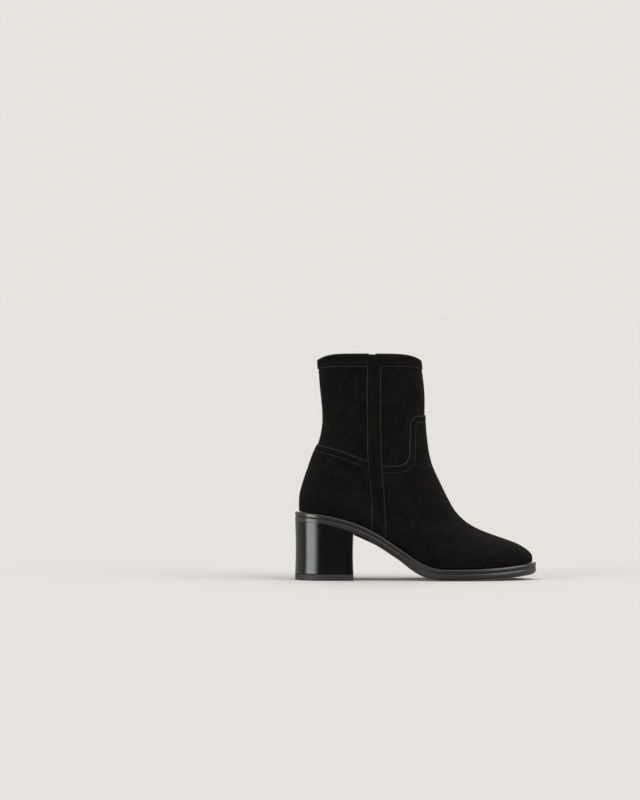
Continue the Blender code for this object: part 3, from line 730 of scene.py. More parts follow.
left, right = (strip_side(side * STRIP_WIDTH / 2)(strip_rows) for side in (-1, 1))
strip_edges = [(left, strip_rows), (right, strip_rows)]
panel(
    "side_strip_suede", "side_strip", [(*ruled(left, right, strip_rows, 30), strip_edges)],
    OVERLAY + STRIP_EXTRA, highlight_strength=UPRIGHT_EDGE_HIGHLIGHT,
)
seam_out = STRIP_WIDTH / 2 - STITCH_IN
stitched("side_strip_stitches", strip_seams((-seam_out, seam_out), False), on_panel(OVERLAY + STRIP_EXTRA))


# Counter: the suede cover over the stiffened heel, from strip to zip facing round the back, with
# two rows of stitching along its top edge.
SECOND_SEAM = 0.0070
# Share of the sole's length, share of the boot's height
COUNTER_EDGE = (
    (-0.050, 0.618), (0.085, 0.616), (0.180, 0.594), (0.290, 0.549), (0.340, 0.528),
)


def counter_height(x):
    """Height of the counter's top edge at x."""
    return BOOT_HEIGHT * through(COUNTER_EDGE, (x - SOLE_BACK) / SOLE_LENGTH)


half_strip = STRIP_WIDTH / 2
CROWDING = 1.6
COUNTER_COLUMNS = 320
COUNTER_ROWS = 80
counter_inner = strip_side(-half_strip - LAYER_GAP, True)
counter_outer = strip_side(-half_strip - LAYER_GAP)


def net_between(left_at, right_at, height, columns, count):
    """Net between two side edges, from the panel start up to a top edge.

    Its rows crowd towards the top edge. The turns and the rows depend on each other, so they are
    settled by a few rounds.
    """
    across = np.linspace(0, 1, columns)
    up = 1 - (1 - np.linspace(0, 1, count)) ** CROWDING
    top = np.full(columns, 7.0)
    for _ in range(12):
        left, right = left_at(top), right_at(top)
        top = row_at_height(left + across * (right - left), height)
    row = PANEL_START + up[:, None] * (top - PANEL_START)
    left, right = left_at(row), right_at(row)
    return left + across * (right - left), row


turn, row = net_between(
    lambda row: counter_inner(row) - 1, counter_outer, counter_height, COUNTER_COLUMNS, COUNTER_ROWS
)
counter_edge = (turn[-1], row[-1])
two_seams = (STITCH_IN, SECOND_SEAM)
panel("heel_counter_suede", "heel_counter", [(turn, row, [counter_edge])], OVERLAY, two_seams)


def seams_under(edge, distances):
    """Seams at distances below a panel's top edge, without the places where a corner folds them."""
    outline = last_point(*edge)
    runs = []
    for distance in distances:
        turn, row = moved_over(*edge, distance, -1)
        clear = edge_distance(last_point(turn, row), outline) > distance - THREAD_HALF
        runs.append((turn[clear], row[clear]))
    return runs


stitched("heel_counter_stitches", seams_under(counter_edge, two_seams), on_panel(OVERLAY))


# Vamp: one piece of suede over the forefoot whose tongue runs up the front of the shaft. It is
# lasted smooth over the toe and stitched twice along its top edge.
# Share of the sole's length, share of the boot's height
VAMP_CORNERS = ((0.340, 0.522), (0.469, 0.524), (0.474, 0.750), (0.600, 0.750))
TONGUE_RADIUS = 0.0115
VAMP_HALF_COLUMNS = 150
VAMP_ROWS = 100
VAMP_SPREAD = 0.75
FRONT_MARGIN = 0.006


def corner_path(corners, radius, spacing=0.0007):
    """Path in the side view through corners, each turned by a parabola, with even steps."""
    corners = [np.array((SOLE_BACK + SOLE_LENGTH * reach, BOOT_HEIGHT * rise)) for reach, rise in corners]
    path = [corners[0]]
    for before, corner, after in zip(corners, corners[1:], corners[2:]):
        entry = corner + (before - corner) * radius / np.linalg.norm(before - corner)
        leave = corner + (after - corner) * radius / np.linalg.norm(after - corner)
        for t in np.linspace(0, 1, 16):
            path.append((1 - t) ** 2 * entry + 2 * t * (1 - t) * corner + t ** 2 * leave)
    path.append(corners[-1])
    path = np.array(path)
    reach = run_length(path)
    even = np.linspace(0, reach[-1], int(reach[-1] / spacing))
    return np.stack([np.interp(even, reach, path[:, axis]) for axis in range(2)], axis=-1)


def settle(path, inner):
    """Turn and row of each side-view point on one side of the last, by Newton steps from a guess."""
    share = np.full(len(path), 0.36)
    row = np.full(len(path), 8.0)
    for _ in range(40):
        turn = 1 - share if inner else share
        along, up, _ = last_steps(turn, row)
        miss = path - last_point(turn, row)[:, (0, 2)]
        along = -along if inner else along
        det = along[:, 0] * up[:, 2] - along[:, 2] * up[:, 0]
        det = np.where(np.abs(det) < 1e-6, 1e-6, det)
        share = share + 0.7 * np.clip((miss[:, 0] * up[:, 2] - miss[:, 1] * up[:, 0]) / det, -0.03, 0.03)
        row = row + 0.7 * np.clip((along[:, 0] * miss[:, 1] - along[:, 2] * miss[:, 0]) / det, -0.5, 0.5)
        share = np.clip(share, 0.02, 0.5)
        row = np.clip(row, PANEL_START, LAST_ROW - 0.01)
    return (1 - share if inner else share), row


def vamp_edge(inner):
    """Turn and row of the vamp's top edge from the strip to the middle of the front."""
    path = corner_path(VAMP_CORNERS, TONGUE_RADIUS)
    start = strip_middle(path[0, 1]) + half_strip + LAYER_GAP
    front = float(last_point(np.array(0.5), row_at_height(np.array(0.5), lambda x: path[-1, 1]))[0])
    path = path[(path[:, 0] > start) & (path[:, 0] < front - FRONT_MARGIN)]
    turn, row = settle(path, inner)
    rest = np.linspace(turn[-1], 0.5, 24)[1:]
    rest_row = row_at_height(rest, lambda x: np.full_like(x, path[-1, 1]))
    return np.concatenate((turn, rest)), np.concatenate((row, rest_row))


def vamp_half(inner):
    """Net of half the vamp, from the strip to the middle of the front.

    Ruled from the welt to the top edge, and bent at the strip so that the first column follows it.
    """
    turn, row = vamp_edge(inner)
    reach = run_length(last_point(turn, row))
    even = np.linspace(0, reach[-1], VAMP_HALF_COLUMNS)
    top_turn, top_row = np.interp(even, reach, turn), np.interp(even, reach, row)
    across = np.linspace(0, 1, VAMP_HALF_COLUMNS)
    beside = strip_side(half_strip + LAYER_GAP, inner)
    start = beside(PANEL_START)
    low_turn = start + (0.5 - start) * across ** VAMP_SPREAD
    up = 1 - (1 - np.linspace(0, 1, VAMP_ROWS)) ** CROWDING
    net_row = PANEL_START + up[:, None] * (top_row - PANEL_START)
    net_turn = low_turn + up[:, None] * (top_turn - low_turn)
    side = beside(net_row[:, 0])
    net_turn = net_turn + (1 - across) ** 2 * (side - net_turn[:, 0])[:, None]
    return net_turn, net_row


outer_turn, outer_row = vamp_half(False)
inner_turn, inner_row = vamp_half(True)
turn = np.concatenate((outer_turn, inner_turn[:, -2::-1]), axis=1)
row = np.concatenate((outer_row, inner_row[:, -2::-1]), axis=1)
vamp_top = (turn[-1], row[-1])
panel("vamp_suede", "vamp", [(turn, row, [vamp_top])], OVERLAY, two_seams)
stitched("vamp_stitches", seams_under(vamp_top, two_seams), on_panel(OVERLAY))


# Zip facing: the strip's twin on the inner side, slit down the middle for the zip and stitched
# along the slit as well as along its outer edges.
ZIP_SLOT = 0.0070
ZIP_END = 0.300
SLIT_CURVE = 0.0035
slot_half = ZIP_SLOT / 2
slit_foot = BOOT_HEIGHT * ZIP_END


def slit_half(z):
    """Half width of the slit: none below its foot, a quarter round above it, then even."""
    rise = np.clip((z - slit_foot) / SLIT_CURVE, 0, 1)
    return slot_half * np.sqrt(1 - (1 - rise) ** 2)


facing_rows = np.linspace(PANEL_START, strip_top, 300)
middle = strip_side(0.0, True)(facing_rows)
height = last_point(middle, facing_rows)[:, 2]
open_rows = height > slit_foot
facing_nets = []
for side in (-1, 1):
    outer_edge = strip_side(side * half_strip, True)(facing_rows)
    slit_side = strip_side(side * slot_half, True)(facing_rows)
    slit_edge = middle + slit_half(height) / slot_half * (slit_side - middle)
    left, right = (slit_edge, outer_edge) if side < 0 else (outer_edge, slit_edge)
    edges = [(outer_edge, facing_rows), (slit_edge[open_rows], facing_rows[open_rows])]
    facing_nets.append((*ruled(left, right, facing_rows, 22), edges))
panel("zip_facing_suede", "zip_facing", facing_nets, OVERLAY + STRIP_EXTRA, highlight_strength=UPRIGHT_EDGE_HIGHLIGHT)
slit_seam = slot_half + STITCH_IN
slit_foot_row = float(np.interp(slit_foot, height, facing_rows))
facing_seams = strip_seams((-seam_out, seam_out), True)
facing_seams += strip_seams((-slit_seam, slit_seam), True, slit_foot_row)
stitched("zip_facing_stitches", facing_seams, on_panel(OVERLAY + STRIP_EXTRA))


# Binding: a wide band of suede folded over the collar's edge, stitched through along its lower
# edge, and open where the zip comes up.
LEG_ROWS = 40
RIM_ROWS = 13
RIM_DROP = 0.033
RIM_FLAT = 0.75
INNER_ROWS = 16
INNER_REACH = 0.9
zip_front, zip_back = (float(strip_side(side * slot_half, True)(LAST_ROW - 0.3)) for side in (1, -1))
around = np.linspace(zip_back - 1, zip_front, 520)
low_row = row_at_height(around, lambda x: collar_line(x, BINDING_DEPTH, BINDING_RISE))
rim_row = np.full_like(around, LAST_ROW - RIM_DROP)
leg_turn, leg_row = np.tile(around, (LEG_ROWS, 1)), np.linspace(low_row, rim_row, LEG_ROWS)
leg_base = skin(leg_turn, leg_row)
distance = edge_distance(leg_base, leg_base[0])
inner_fall = WALL + OVERLAY
angle = np.linspace(0, np.pi, RIM_ROWS)[:, None, None]
_, up_step, out = last_steps(around, rim_row)
rim = skin(around, rim_row, (OVERLAY - inner_fall) / 2) + (OVERLAY + inner_fall) / 2 * (
    np.cos(angle) * out + RIM_FLAT * np.sin(angle) * unit(up_step)
)
inner_net = np.tile(around, (INNER_ROWS, 1)), np.linspace(rim_row, rim_row - INNER_REACH, INNER_ROWS)
over = np.concatenate((
    skin(leg_turn, leg_row, panel_height(distance, OVERLAY)), rim[1:-1], skin(*inner_net, -inner_fall),
))
rim_base = np.repeat(skin(around, rim_row, -WALL / 2)[None], RIM_ROWS - 2, axis=0)
below = np.concatenate((leg_base, rim_base, skin(*inner_net, -WALL)))
# Painted highlight along the binding's lower cut edge, partly its paler tone, on the leg rows only.
binding_edge_highlight = np.zeros(over.shape[:2])
binding_edge_highlight[:LEG_ROWS] = edge_highlight_strength(distance, COLLAR_EDGE_HIGHLIGHT)
binding = piece_mesh(
    "collar_binding_suede", np.concatenate((over, below)), shell_faces(*over.shape[:2]),
    cut_edge=np.tile(binding_edge_highlight, (2, 1)),
)
fit(binding, suede, "black_suede", "collar_binding")
binding_seam = moved_over(around[6:-6], low_row[6:-6], STITCH_IN, 1)
stitched("collar_binding_stitches", [binding_seam], on_panel(OVERLAY))


# Zip tape: polyester woven in a fine herringbone, dyed black, which lies behind the slit.
ZIP_TAPE = 0.0004
ZIP_TOP_MARGIN = 0.0030
WEFT_PITCH = 0.0006
WARP_PITCH = 0.0008
WAVE_PERIOD = 0.314
TAPE_ROWS = 240
TAPE_COLUMNS = 14
zip_foot = slit_foot + LAYER_GAP
zip_head = BOOT_HEIGHT + COLLAR_ARCH - ZIP_TOP_MARGIN
zip_weave, shader = new_finish(
    "black_zip_weave", Base_Color=ink("161616"), Roughness=0.85, Sheen_Weight=0.15
)
metres = add_node(zip_weave, "ShaderNodeTexCoord", {}).outputs["Object"]
waves = [
    add_node(
        zip_weave, "ShaderNodeTexWave", {"Vector": metres, "Scale": WAVE_PERIOD / pitch, "Distortion": 0.6},
        bands_direction=way,
    ).outputs[1]
    for pitch, way in ((WEFT_PITCH, "Z"), (WARP_PITCH, "X"))
]
weave = add_node(zip_weave, "ShaderNodeMath", dict(enumerate(waves)), operation="MULTIPLY").outputs[0]
feed(shader, "Base Color", colour_ramp(zip_weave, weave, ((0.0, "0b0b0b"), (1.0, "2a2a29"))))
bumped(zip_weave, shader, weave, 0.6, 0.0002)

zip_middle = strip_side(0.0, True)
tape_z = np.linspace(zip_foot, zip_head, TAPE_ROWS)
tape_row = np.full(TAPE_ROWS, 9.0)
for _ in range(8):
    tape_row = row_at_height(zip_middle(tape_row), lambda x: tape_z)
left, right = (strip_side(side * (slot_half - LAYER_GAP), True)(tape_row) for side in (1, -1))
turn, row = ruled(left, right, tape_row, TAPE_COLUMNS, 1.0)
tape_faces = [skin(turn, row, height) for height in (LAYER_GAP + ZIP_TAPE, LAYER_GAP)]
tape = piece_mesh("zip_tape_woven", np.concatenate(tape_faces), shell_faces(*turn.shape))
fit(tape, zip_weave, "zip_fabric", "zip_tape")


# Zip teeth: stamped nickel-plated brass, clamped to the tape one after the other from both sides,
# so that they mesh at the middle. A stop closes the row at the foot and two hold the slider on top.
TOOTH_PITCH = 0.0012
TOOTH_LONG = 0.0029
TOOTH_WIDE = 0.0010
TOOTH_THICK = 0.0009
TOOTH_SQUARE = 0.45
TEETH_WIDTH = 0.0042
TEETH_FOOT = 0.0006
STOP_LONG = 0.0016
PLATE_WEAR = 0.0015


def plated(name, colour, roughness):
    """Plated metal: one tone, with a little wear in the gloss and a tumbled, slightly wavy surface."""
    metal, shader = new_finish(name, Base_Color=ink(colour), Metallic=1.0, Roughness=roughness)
    wear = noise(metal, PLATE_WEAR, 4.0)
    glossed(metal, shader, wear, roughness - 0.12, roughness + 0.14)
    bumped(metal, shader, wear, 0.15, 0.0001)
    return metal


def signed_power(value, power):
    """Power of a value's size, with its sign."""
    return np.sign(value) * np.abs(value) ** power


nickel = plated("dark_nickel_plate", "6f6d6a", 0.30)
teeth_height = 2 * LAYER_GAP + ZIP_TAPE + TOOTH_THICK / 2
zip_reach = run_length(last_point(zip_middle(tape_row), tape_row))


def soft_blocks(reach, sideways, long, wide):
    """Rounded blocks on the zip at places along it and to its side.

    Each is a superellipsoid: the axes of a ball, each a signed power of its sine or cosine.
    """
    at_row = np.interp(reach, zip_reach, tape_row)
    at_turn = zip_middle(at_row)
    _, up, out = last_steps(at_turn, at_row)
    up = unit(up)
    side = np.cross(up, out)
    middle = skin(at_turn, at_row, teeth_height) + sideways[:, None] * side
    tip = np.linspace(-np.pi / 2, np.pi / 2, 7)[:, None]
    around = np.linspace(0, 2 * np.pi, 9)[None, :-1]
    high, wide_at = signed_power(np.sin(tip), TOOTH_SQUARE), signed_power(np.cos(tip), TOOTH_SQUARE)
    shape = (
        high * long / 2 + 0 * around, wide_at * signed_power(np.cos(around), TOOTH_SQUARE) * wide / 2,
        wide_at * signed_power(np.sin(around), TOOTH_SQUARE) * TOOTH_THICK / 2,
    )
    return tubes(middle[:, None, None] + sum(
        size[None, ..., None] * axis[:, None, None] for size, axis in zip(shape, (side, up, out))
    ))


tooth_reach = np.arange(TEETH_FOOT + STOP_LONG + TOOTH_PITCH, zip_reach[-1] - STOP_LONG, TOOTH_PITCH)
tooth_side = np.where(np.arange(len(tooth_reach)) % 2, 1.0, -1.0) * (TEETH_WIDTH - TOOTH_LONG) / 2
stop_side = (TEETH_WIDTH - STOP_LONG) / 2
top_stops = np.full(2, zip_reach[-1] - STOP_LONG / 2)
teeth = piece_mesh("zip_teeth_nickel", *gathered([
    soft_blocks(tooth_reach, tooth_side, TOOTH_LONG, TOOTH_WIDE),
    soft_blocks(np.array([TEETH_FOOT + STOP_LONG / 2]), np.zeros(1), TEETH_WIDTH, STOP_LONG),
    soft_blocks(top_stops, np.array((-stop_side, stop_side)), STOP_LONG, STOP_LONG),
]))
fit(teeth, nickel, "zip_metal", "zip_teeth")


# Slider: die-cast zinc, barrelled smooth and plated, a domed shield that rides over the teeth. Its
# bridge is one small arch that holds the pull.
SLIDER_LENGTH = 0.0100
SLIDER_WIDTH = 0.0076
SLIDER_PLATE = 0.0011
SLIDER_DOME = 0.00008
PLATE_FOOT = 0.70
PLATE_ROUND = 0.0004
BRIDGE_WIDTH = 0.0016
BRIDGE_WIRE = 0.0009
BRIDGE_SQUARE = 0.6
PULL_LENGTH = 0.0260
PULL_WIDTH = 0.0062
PULL_THICK = 0.0010
PULL_BAR = 0.0012
pull_low, pull_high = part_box("zip_pull")
slider_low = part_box("zip_slider")[0]
hinge = np.array((
    (pull_low.x + pull_high.x) / 2, (pull_low.y + pull_high.y) / 2, pull_high.z - PULL_BAR / 2,
))
half_long, half_wide = SLIDER_LENGTH / 2, SLIDER_WIDTH / 2
foot = half_wide * PLATE_FOOT


def arc(centre, radius, start, stop, steps=24):
    """Points of a plane arc about a centre, by cosine and sine of angles in degrees."""
    angle = np.radians(np.linspace(start, stop, steps))
    return np.column_stack((centre[0] + radius * np.cos(angle), centre[1] + radius * np.sin(angle)))


def evened(loop, count):
    """Closed loop with its points spread evenly along its length."""
    loop = np.concatenate((loop, loop[:1]))
    reach = run_length(loop)
    even = np.arange(count) / count * reach[-1]
    return np.column_stack([np.interp(even, reach, loop[:, axis]) for axis in (0, 1)])


def plate(outline, hole, half_thick, rows):
    """Plate on rulings from its outline to a hole or a point inside it, in x, z and thickness y.

    rows holds (distance in from the edge, height as a share of the half thickness). The rows near
    the hole mirror those near the outline, and short rulings shrink them to fit.
    """
    ruling = hole - outline
    span = np.linalg.norm(ruling, axis=1)
    rows = np.array(rows)
    fitted = np.minimum(1.0, 0.45 * span / rows[-1, 0])
    solid = np.ptp(hole, axis=0).max() < WELD
    shares = [distance * fitted / span for distance, _ in rows]
    heights = [height for _, height in rows]
    if solid:
        shares += [np.full_like(span, 0.6), np.full_like(span, 0.8), np.ones_like(span)]
        heights += [heights[-1]] * 3
    else:
        shares += [1 - share for share in shares[::-1]]
        heights += heights[::-1]
    face = [
        np.column_stack((outline + share[:, None] * ruling, np.full(len(span), height * half_thick)))
        for share, height in zip(shares, heights)
    ]
    back = [layer * np.array((1, 1, -1)) for layer in face[::-1]]
    grid = np.array(face + back)[:, :, (0, 2, 1)]
    index = closed(np.arange(grid.size // 3).reshape(grid.shape[:2]))
    quads = grid_faces(np.concatenate((index, index[:1]))).reshape(len(index), -1, 4)
    if solid:
        quads = np.delete(quads, len(face) - 1, axis=0)
    return grid.reshape(-1, 3), quads.reshape(-1, 4)


def rounded_rows(depth, steps=5):
    """Quarter round at an edge: distance in and height by one less cosine, and sine."""
    angle = np.linspace(0, np.pi / 2, steps)
    return [(depth * (1 - math.cos(a)), math.sin(a)) for a in angle]


plate_loop = evened(np.concatenate((
    arc((0, half_long - half_wide), half_wide, 0, 180), arc((0, foot - half_long), foot, 180, 360),
)), 96)
no_hole = np.zeros_like(plate_loop)
points, plate_quads = plate(plate_loop, no_hole, SLIDER_PLATE / 2, rounded_rows(PLATE_ROUND))
middle_share = np.clip(1 - (points[:, 0] / half_wide) ** 2 - (points[:, 2] / half_long) ** 2, 0, 1)
points[:, 1] += SLIDER_DOME * middle_share
plate_points = points + np.array((hinge[0], slider_low.y + SLIDER_PLATE / 2, hinge[2]))

bridge_middle = math.hypot(PULL_BAR, PULL_THICK) / 2 + LAYER_GAP + BRIDGE_WIRE / 2
foot_y = slider_low.y + SLIDER_PLATE / 2 - hinge[1]
bridge_path = np.concatenate((
    [(foot_y, -bridge_middle)], arc((0, 0), bridge_middle, -90, 90, 20), [(foot_y, bridge_middle)],
))
ahead = unit(np.gradient(bridge_path, axis=0))
around = np.linspace(0, 2 * np.pi, 13)[:-1]
swell = np.ones((len(bridge_path), 1))
swell[0] = swell[-1] = 0.0
wide = signed_power(np.cos(around), BRIDGE_SQUARE) * BRIDGE_WIDTH / 2
deep = signed_power(np.sin(around), BRIDGE_SQUARE) * BRIDGE_WIRE / 2
bridge_points, bridge_quads = tubes(np.stack((
    swell * wide, bridge_path[:, :1] + swell * deep * ahead[:, 1:],
    bridge_path[:, 1:] - swell * deep * ahead[:, :1],
), axis=-1) + hinge)
slider = piece_mesh("zip_slider_nickel", *gathered([
    (points, outward(points, quads))
    for points, quads in ((plate_points, plate_quads), (bridge_points, bridge_quads))
]))
fit(slider, nickel, "zip_metal", "zip_slider")


# Pull: a flat tab of the same plated zinc with a raised rim round its edge and its eye. It hangs
# from the bar of the eye, which turns under the slider's bridge.
PULL_NECK = 0.80
PULL_TIP = 0.85
PULL_EYE = 0.0026
TAB_ROUND = 0.00030
RIM_WIDE = 0.0009
RIM_SLOPE = 0.0012
TAB_PANEL = 0.72
neck_half = PULL_WIDTH / 2 * PULL_NECK
tip_radius = PULL_WIDTH / 2 * PULL_TIP
bar = PULL_BAR / 2
eye_half = PULL_EYE / 2
eye_middle = np.array((0.0, -bar - eye_half))
tab_loop = evened(np.concatenate((
    [(-neck_half, bar), (-PULL_WIDTH / 2, -bar - PULL_EYE)],
    arc((0, tip_radius - PULL_LENGTH), tip_radius, 180, 360),
    [(PULL_WIDTH / 2, -bar - PULL_EYE), (neck_half, bar)],
)), 200)
towards = unit(tab_loop - eye_middle)
eye_reach = eye_half / (np.abs(towards) ** 6).sum(1) ** (1 / 6)
eye_loop = eye_middle + towards * eye_reach[:, None]
tab_rows = rounded_rows(TAB_ROUND) + [(RIM_WIDE, 1.0), (RIM_SLOPE, TAB_PANEL)]
points, quads = plate(tab_loop, eye_loop, PULL_THICK / 2, tab_rows)
pull = piece_mesh("zip_pull_nickel", points + hinge, quads)
fit(pull, nickel, "zip_metal", "zip_pull", body="pull")


# Welt and outsole: two leather layers cut to one outline, their edges inked black and burnished.
# The welt stands 4 mm proud of the upper all round. The groove under it holds a line of shadow,
# painted darker on both edges beside it, and the outsole's downward bevel is painted darker as shade.
SOLE_PLAN = {
    "waist_out": 0.720, "waist_in": 0.600, "ball_out": 0.975, "ball_in": 1.025,
    "tail": 0.130, "nose": 0.345,
}
HEEL_LENGTH = 0.0582
BREAST = HEEL_LENGTH / 2
LAYER_STATIONS = 240
LAYER_ACROSS = 26
EDGE_BULGE = 0.0007


def plan_halves(inset, shares):
    """Outer and inner halves of the sole's outline moved in by inset.

    Stations are shares of the full length. Near the two tips they move in with the outline.
    """
    back = SOLE_BACK + inset
    length = SOLE_LENGTH - 2 * inset
    tip = np.clip(1 - shares / 0.1, 0, 1) ** 2 - np.clip(1 - (1 - shares) / 0.1, 0, 1) ** 2
    x = SOLE_BACK + SOLE_LENGTH * shares + inset * tip
    share = np.clip((x - back) / length, 0, 1)
    half = BALL_WIDTH / 2
    rounded = rounding(share, SOLE_PLAN["tail"], SOLE_PLAN["nose"])
    halves = []
    for side, waist, ball in ((-1, "waist_out", "ball_out"), (1, "waist_in", "ball_in")):
        body = body_half(share, SEAT_WIDTH / 2, SOLE_PLAN[waist] * half, SOLE_PLAN[ball] * half)
        halves.append(np.stack((x, TOE_SWING * share ** 2 + side * (body - inset) * rounded), axis=-1))
    return halves


def sole_shares(*extra):
    """Stations along the sole, crowded at both tips, with any extra places put in by their x."""
    shares = (1 - np.cos(np.pi * np.arange(LAYER_STATIONS + 1) / LAYER_STATIONS)) / 2
    return np.sort(np.concatenate((shares, (np.array(extra) - SOLE_BACK) / SOLE_LENGTH)))


def sole_layer(name, profile, height_of, shares, dress=None):
    """Layer of the sole: at each station a closed loop over the top, down one edge and back below.

    profile holds (inset, depth) pairs from the top edge to the bottom edge, and height_of gives a
    height from x and depth. The last argument holds one value for each pair, which the finish reads:
    painted shade in the groove and on the bevel, and bare leather for the tread.
    """
    outer_side, inner_side = [], []
    for inset, depth in profile:
        for line, side in zip(plan_halves(inset, shares), (outer_side, inner_side)):
            side.append(np.column_stack((line, height_of(line[:, 0], depth))))
    outer_side, inner_side = np.array(outer_side), np.array(inner_side)
    spread = np.linspace(0, 1, LAYER_ACROSS)[1:-1, None, None]
    top = outer_side[0] + spread * (inner_side[0] - outer_side[0])
    top[..., 2] = height_of(top[..., 0], profile[0][1])
    under = inner_side[-1] + spread * (outer_side[-1] - inner_side[-1])
    under[..., 2] = height_of(under[..., 0], profile[-1][1])
    loop = np.concatenate((outer_side[::-1], top, inner_side, under))
    index = np.arange(loop.size // 3).reshape(loop.shape[:2])
    quads = grid_faces(np.concatenate((index, index[:1])))
    dress = dress or [0.0] * len(profile)
    blank = [0.0] * (LAYER_ACROSS - 2)
    values = np.array(dress[::-1] + blank + dress + [v + dress[-1] for v in blank])
    return piece_mesh(name, loop, quads, dressing=np.repeat(values[:, None], loop.shape[1], axis=1))


def bulged(inset, depth, thick, lower=1.0, steps=13):
    """Edge profile of a layer: a flattened round that stands EDGE_BULGE proud at its middle.

    lower is the share of the bulge that its lower half has.
    """
    t = (1 - np.cos(np.pi * np.linspace(0, 1, steps))) / 2
    curve = EDGE_BULGE * (1 - np.sqrt(np.clip(1 - np.abs(2 * t - 1) ** 3, 0, 1)))
    curve = curve * np.where(t > 0.5, lower, 1.0)
    return [(inset + c, depth + thick * s) for c, s in zip(curve, t)]


RUB_MARK = 0.0020


def inked_edge(name, colour, roughness, shaded_ink, tread):
    """Burnished edge ink: dark, waxy, with long faint rub marks that run round the edge.

    The piece's value turns the ink to its darker painted shade at a half, for the groove and the
    bevel, and to bare leather at one.
    """
    edge, shader = new_finish(name, Roughness=roughness, Coat_Weight=1.0, Coat_Roughness=0.13)
    rub = noise(edge, RUB_MARK, 3.0, (0.25, 0.25, 3.0))
    glossed(edge, shader, rub, roughness - 0.10, roughness + 0.12)
    dressing = add_node(edge, "ShaderNodeAttribute", {}, attribute_name="dressing").outputs["Fac"]
    stops = ((0.0, colour), (0.30, colour), (0.42, shaded_ink), (0.80, shaded_ink), (0.90, tread), (1.0, tread))
    feed(shader, "Base Color", colour_ramp(edge, dressing, stops))
    bumped(edge, shader, rub, 0.3, 0.0002)
    return edge


# Each ink's second colour is painted shade, darker than the ink: mixed in for the groove's shadow and laid
# on the outsole's downward bevel.
welt_ink = inked_edge("black_edge_ink", "2c2a28", 0.36, "100f0f", "100f0f")
outsole_ink = inked_edge("black_edge_dressing", "312f2c", 0.38, "121110", "8f7150")
# The lowest tenth of the welt's edge and the top tenth of the outsole's edge are painted darker, as the
# shadow in the groove between them.
GROOVE_SHARE = 0.10
GROOVE_SHADE = 0.35
welt_profile = bulged(0.0, 0.0, WELT_THICK)
welt_groove_shade = [GROOVE_SHADE * float(depth > WELT_THICK * (1 - GROOVE_SHARE)) for _, depth in welt_profile]
welt = sole_layer("welt_leather", welt_profile, sole_under, sole_shares(), welt_groove_shade)
fit(welt, welt_ink, "welt_leather", "welt")

outsole_top = WELT_THICK + LAYER_GAP
seat_depth = outsole_top + OUTSOLE_EDGE
# Share of the bevel's inset, share of its depth, and the value read by the finish: painted bevel shade at a
# half, bare tread at one
BEVEL_ROWS = (
    (0.03, 0.10, 0.5), (0.28, 0.42, 0.5), (0.60, 0.75, 0.5), (0.86, 0.94, 0.5), (1.0, 1.0, 1.0),
    (1.4, 1.0, 1.0),
)
edge_profile = bulged(0.0, outsole_top, OUTSOLE_EDGE, 0.1)
outsole_profile = edge_profile + [
    (BEVEL_INSET * across, seat_depth + OUTSOLE_BEVEL * down) for across, down, _ in BEVEL_ROWS
]
groove_foot = outsole_top + OUTSOLE_EDGE * GROOVE_SHARE
outsole_shade_and_tread = [GROOVE_SHADE * float(depth < groove_foot) for _, depth in edge_profile]
outsole_shade_and_tread += [dress for _, _, dress in BEVEL_ROWS]


def outsole_height(x, depth):
    """Height of an outsole layer: it is thinner over the heel block, where the bevel is cut away."""
    shallow = sole_under(x, np.minimum(depth, seat_depth))
    return np.where(x < BREAST + LAYER_GAP / 2, shallow, sole_under(x, depth))


outsole_shares = sole_shares(BREAST, BREAST + LAYER_GAP)
outsole = sole_layer("outsole_leather", outsole_profile, outsole_height, outsole_shares, outsole_shade_and_tread)
fit(outsole, outsole_ink, "outsole_rubber", "outsole")


# Heel block: a moulded core wrapped and lacquered in many thin coats, glossy as glass, hollowed a
# little on every side. It is screwed up through the seat.
TOP_PIECE = 0.0062
HEEL_HOLLOW = 0.0006
CORNER_ROUND = 0.0014
HEEL_EDGE = 0.0004


def heel_plan(inset):
    """Closed outline of the heel: the sole's tail up to the breast, corners turned by arcs."""
    stop = BREAST - inset - CORNER_ROUND
    halves = []
    for side, line in zip((-1, 1), plan_halves(inset, np.linspace(0, 1, 2001))):
        line = line[line[:, 0] < stop]
        centre = (stop, line[-1, 1] - side * CORNER_ROUND)
        halves.append(np.concatenate((line, arc(centre, CORNER_ROUND, side * 90, 0, 9))))
    return np.concatenate((halves[0], halves[1][:0:-1]))


def heel_block(name, levels, steps=360):
    """Solid of stacked outlines, closed above and below by rings that shrink to the middle.

    A level is an inset and a function that gives its height from x.
    """
    rings = [(evened(heel_plan(inset), steps), height) for inset, height in levels]
    middle = rings[0][0].mean(0)

    def shrunk(ring, shares):
        return [(middle + (ring[0] - middle) * share, ring[1]) for share in shares]

    shrink = (0.0, 0.25, 0.5, 0.75)
    stack = shrunk(rings[0], shrink) + rings + shrunk(rings[-1], shrink[::-1])
    points = np.array([np.column_stack((plan, height(plan[:, 0]))) for plan, height in stack])
    return piece_mesh(name, *tubes(points))


seat_line = seat_depth + LAYER_GAP
block_foot = TOP_PIECE + LAYER_GAP
heel_levels = []
EDGE_SHARE = 0.02
edge_shares = np.linspace(0, EDGE_SHARE, 5)
side_shares = np.linspace(EDGE_SHARE, 1 - EDGE_SHARE, 14)
for t in np.concatenate((edge_shares[:-1], side_shares, 1 - edge_shares[-2::-1])):
    soft = HEEL_EDGE * (1 - np.sqrt(1 - np.clip(1 - (1 - t) / EDGE_SHARE, 0, 1) ** 2))
    hollow = HEEL_HOLLOW * np.sin(np.pi * t)
    heel_levels.append((soft + hollow, lambda x, t=t: (1 - t) * sole_under(x, seat_line) + t * block_foot))
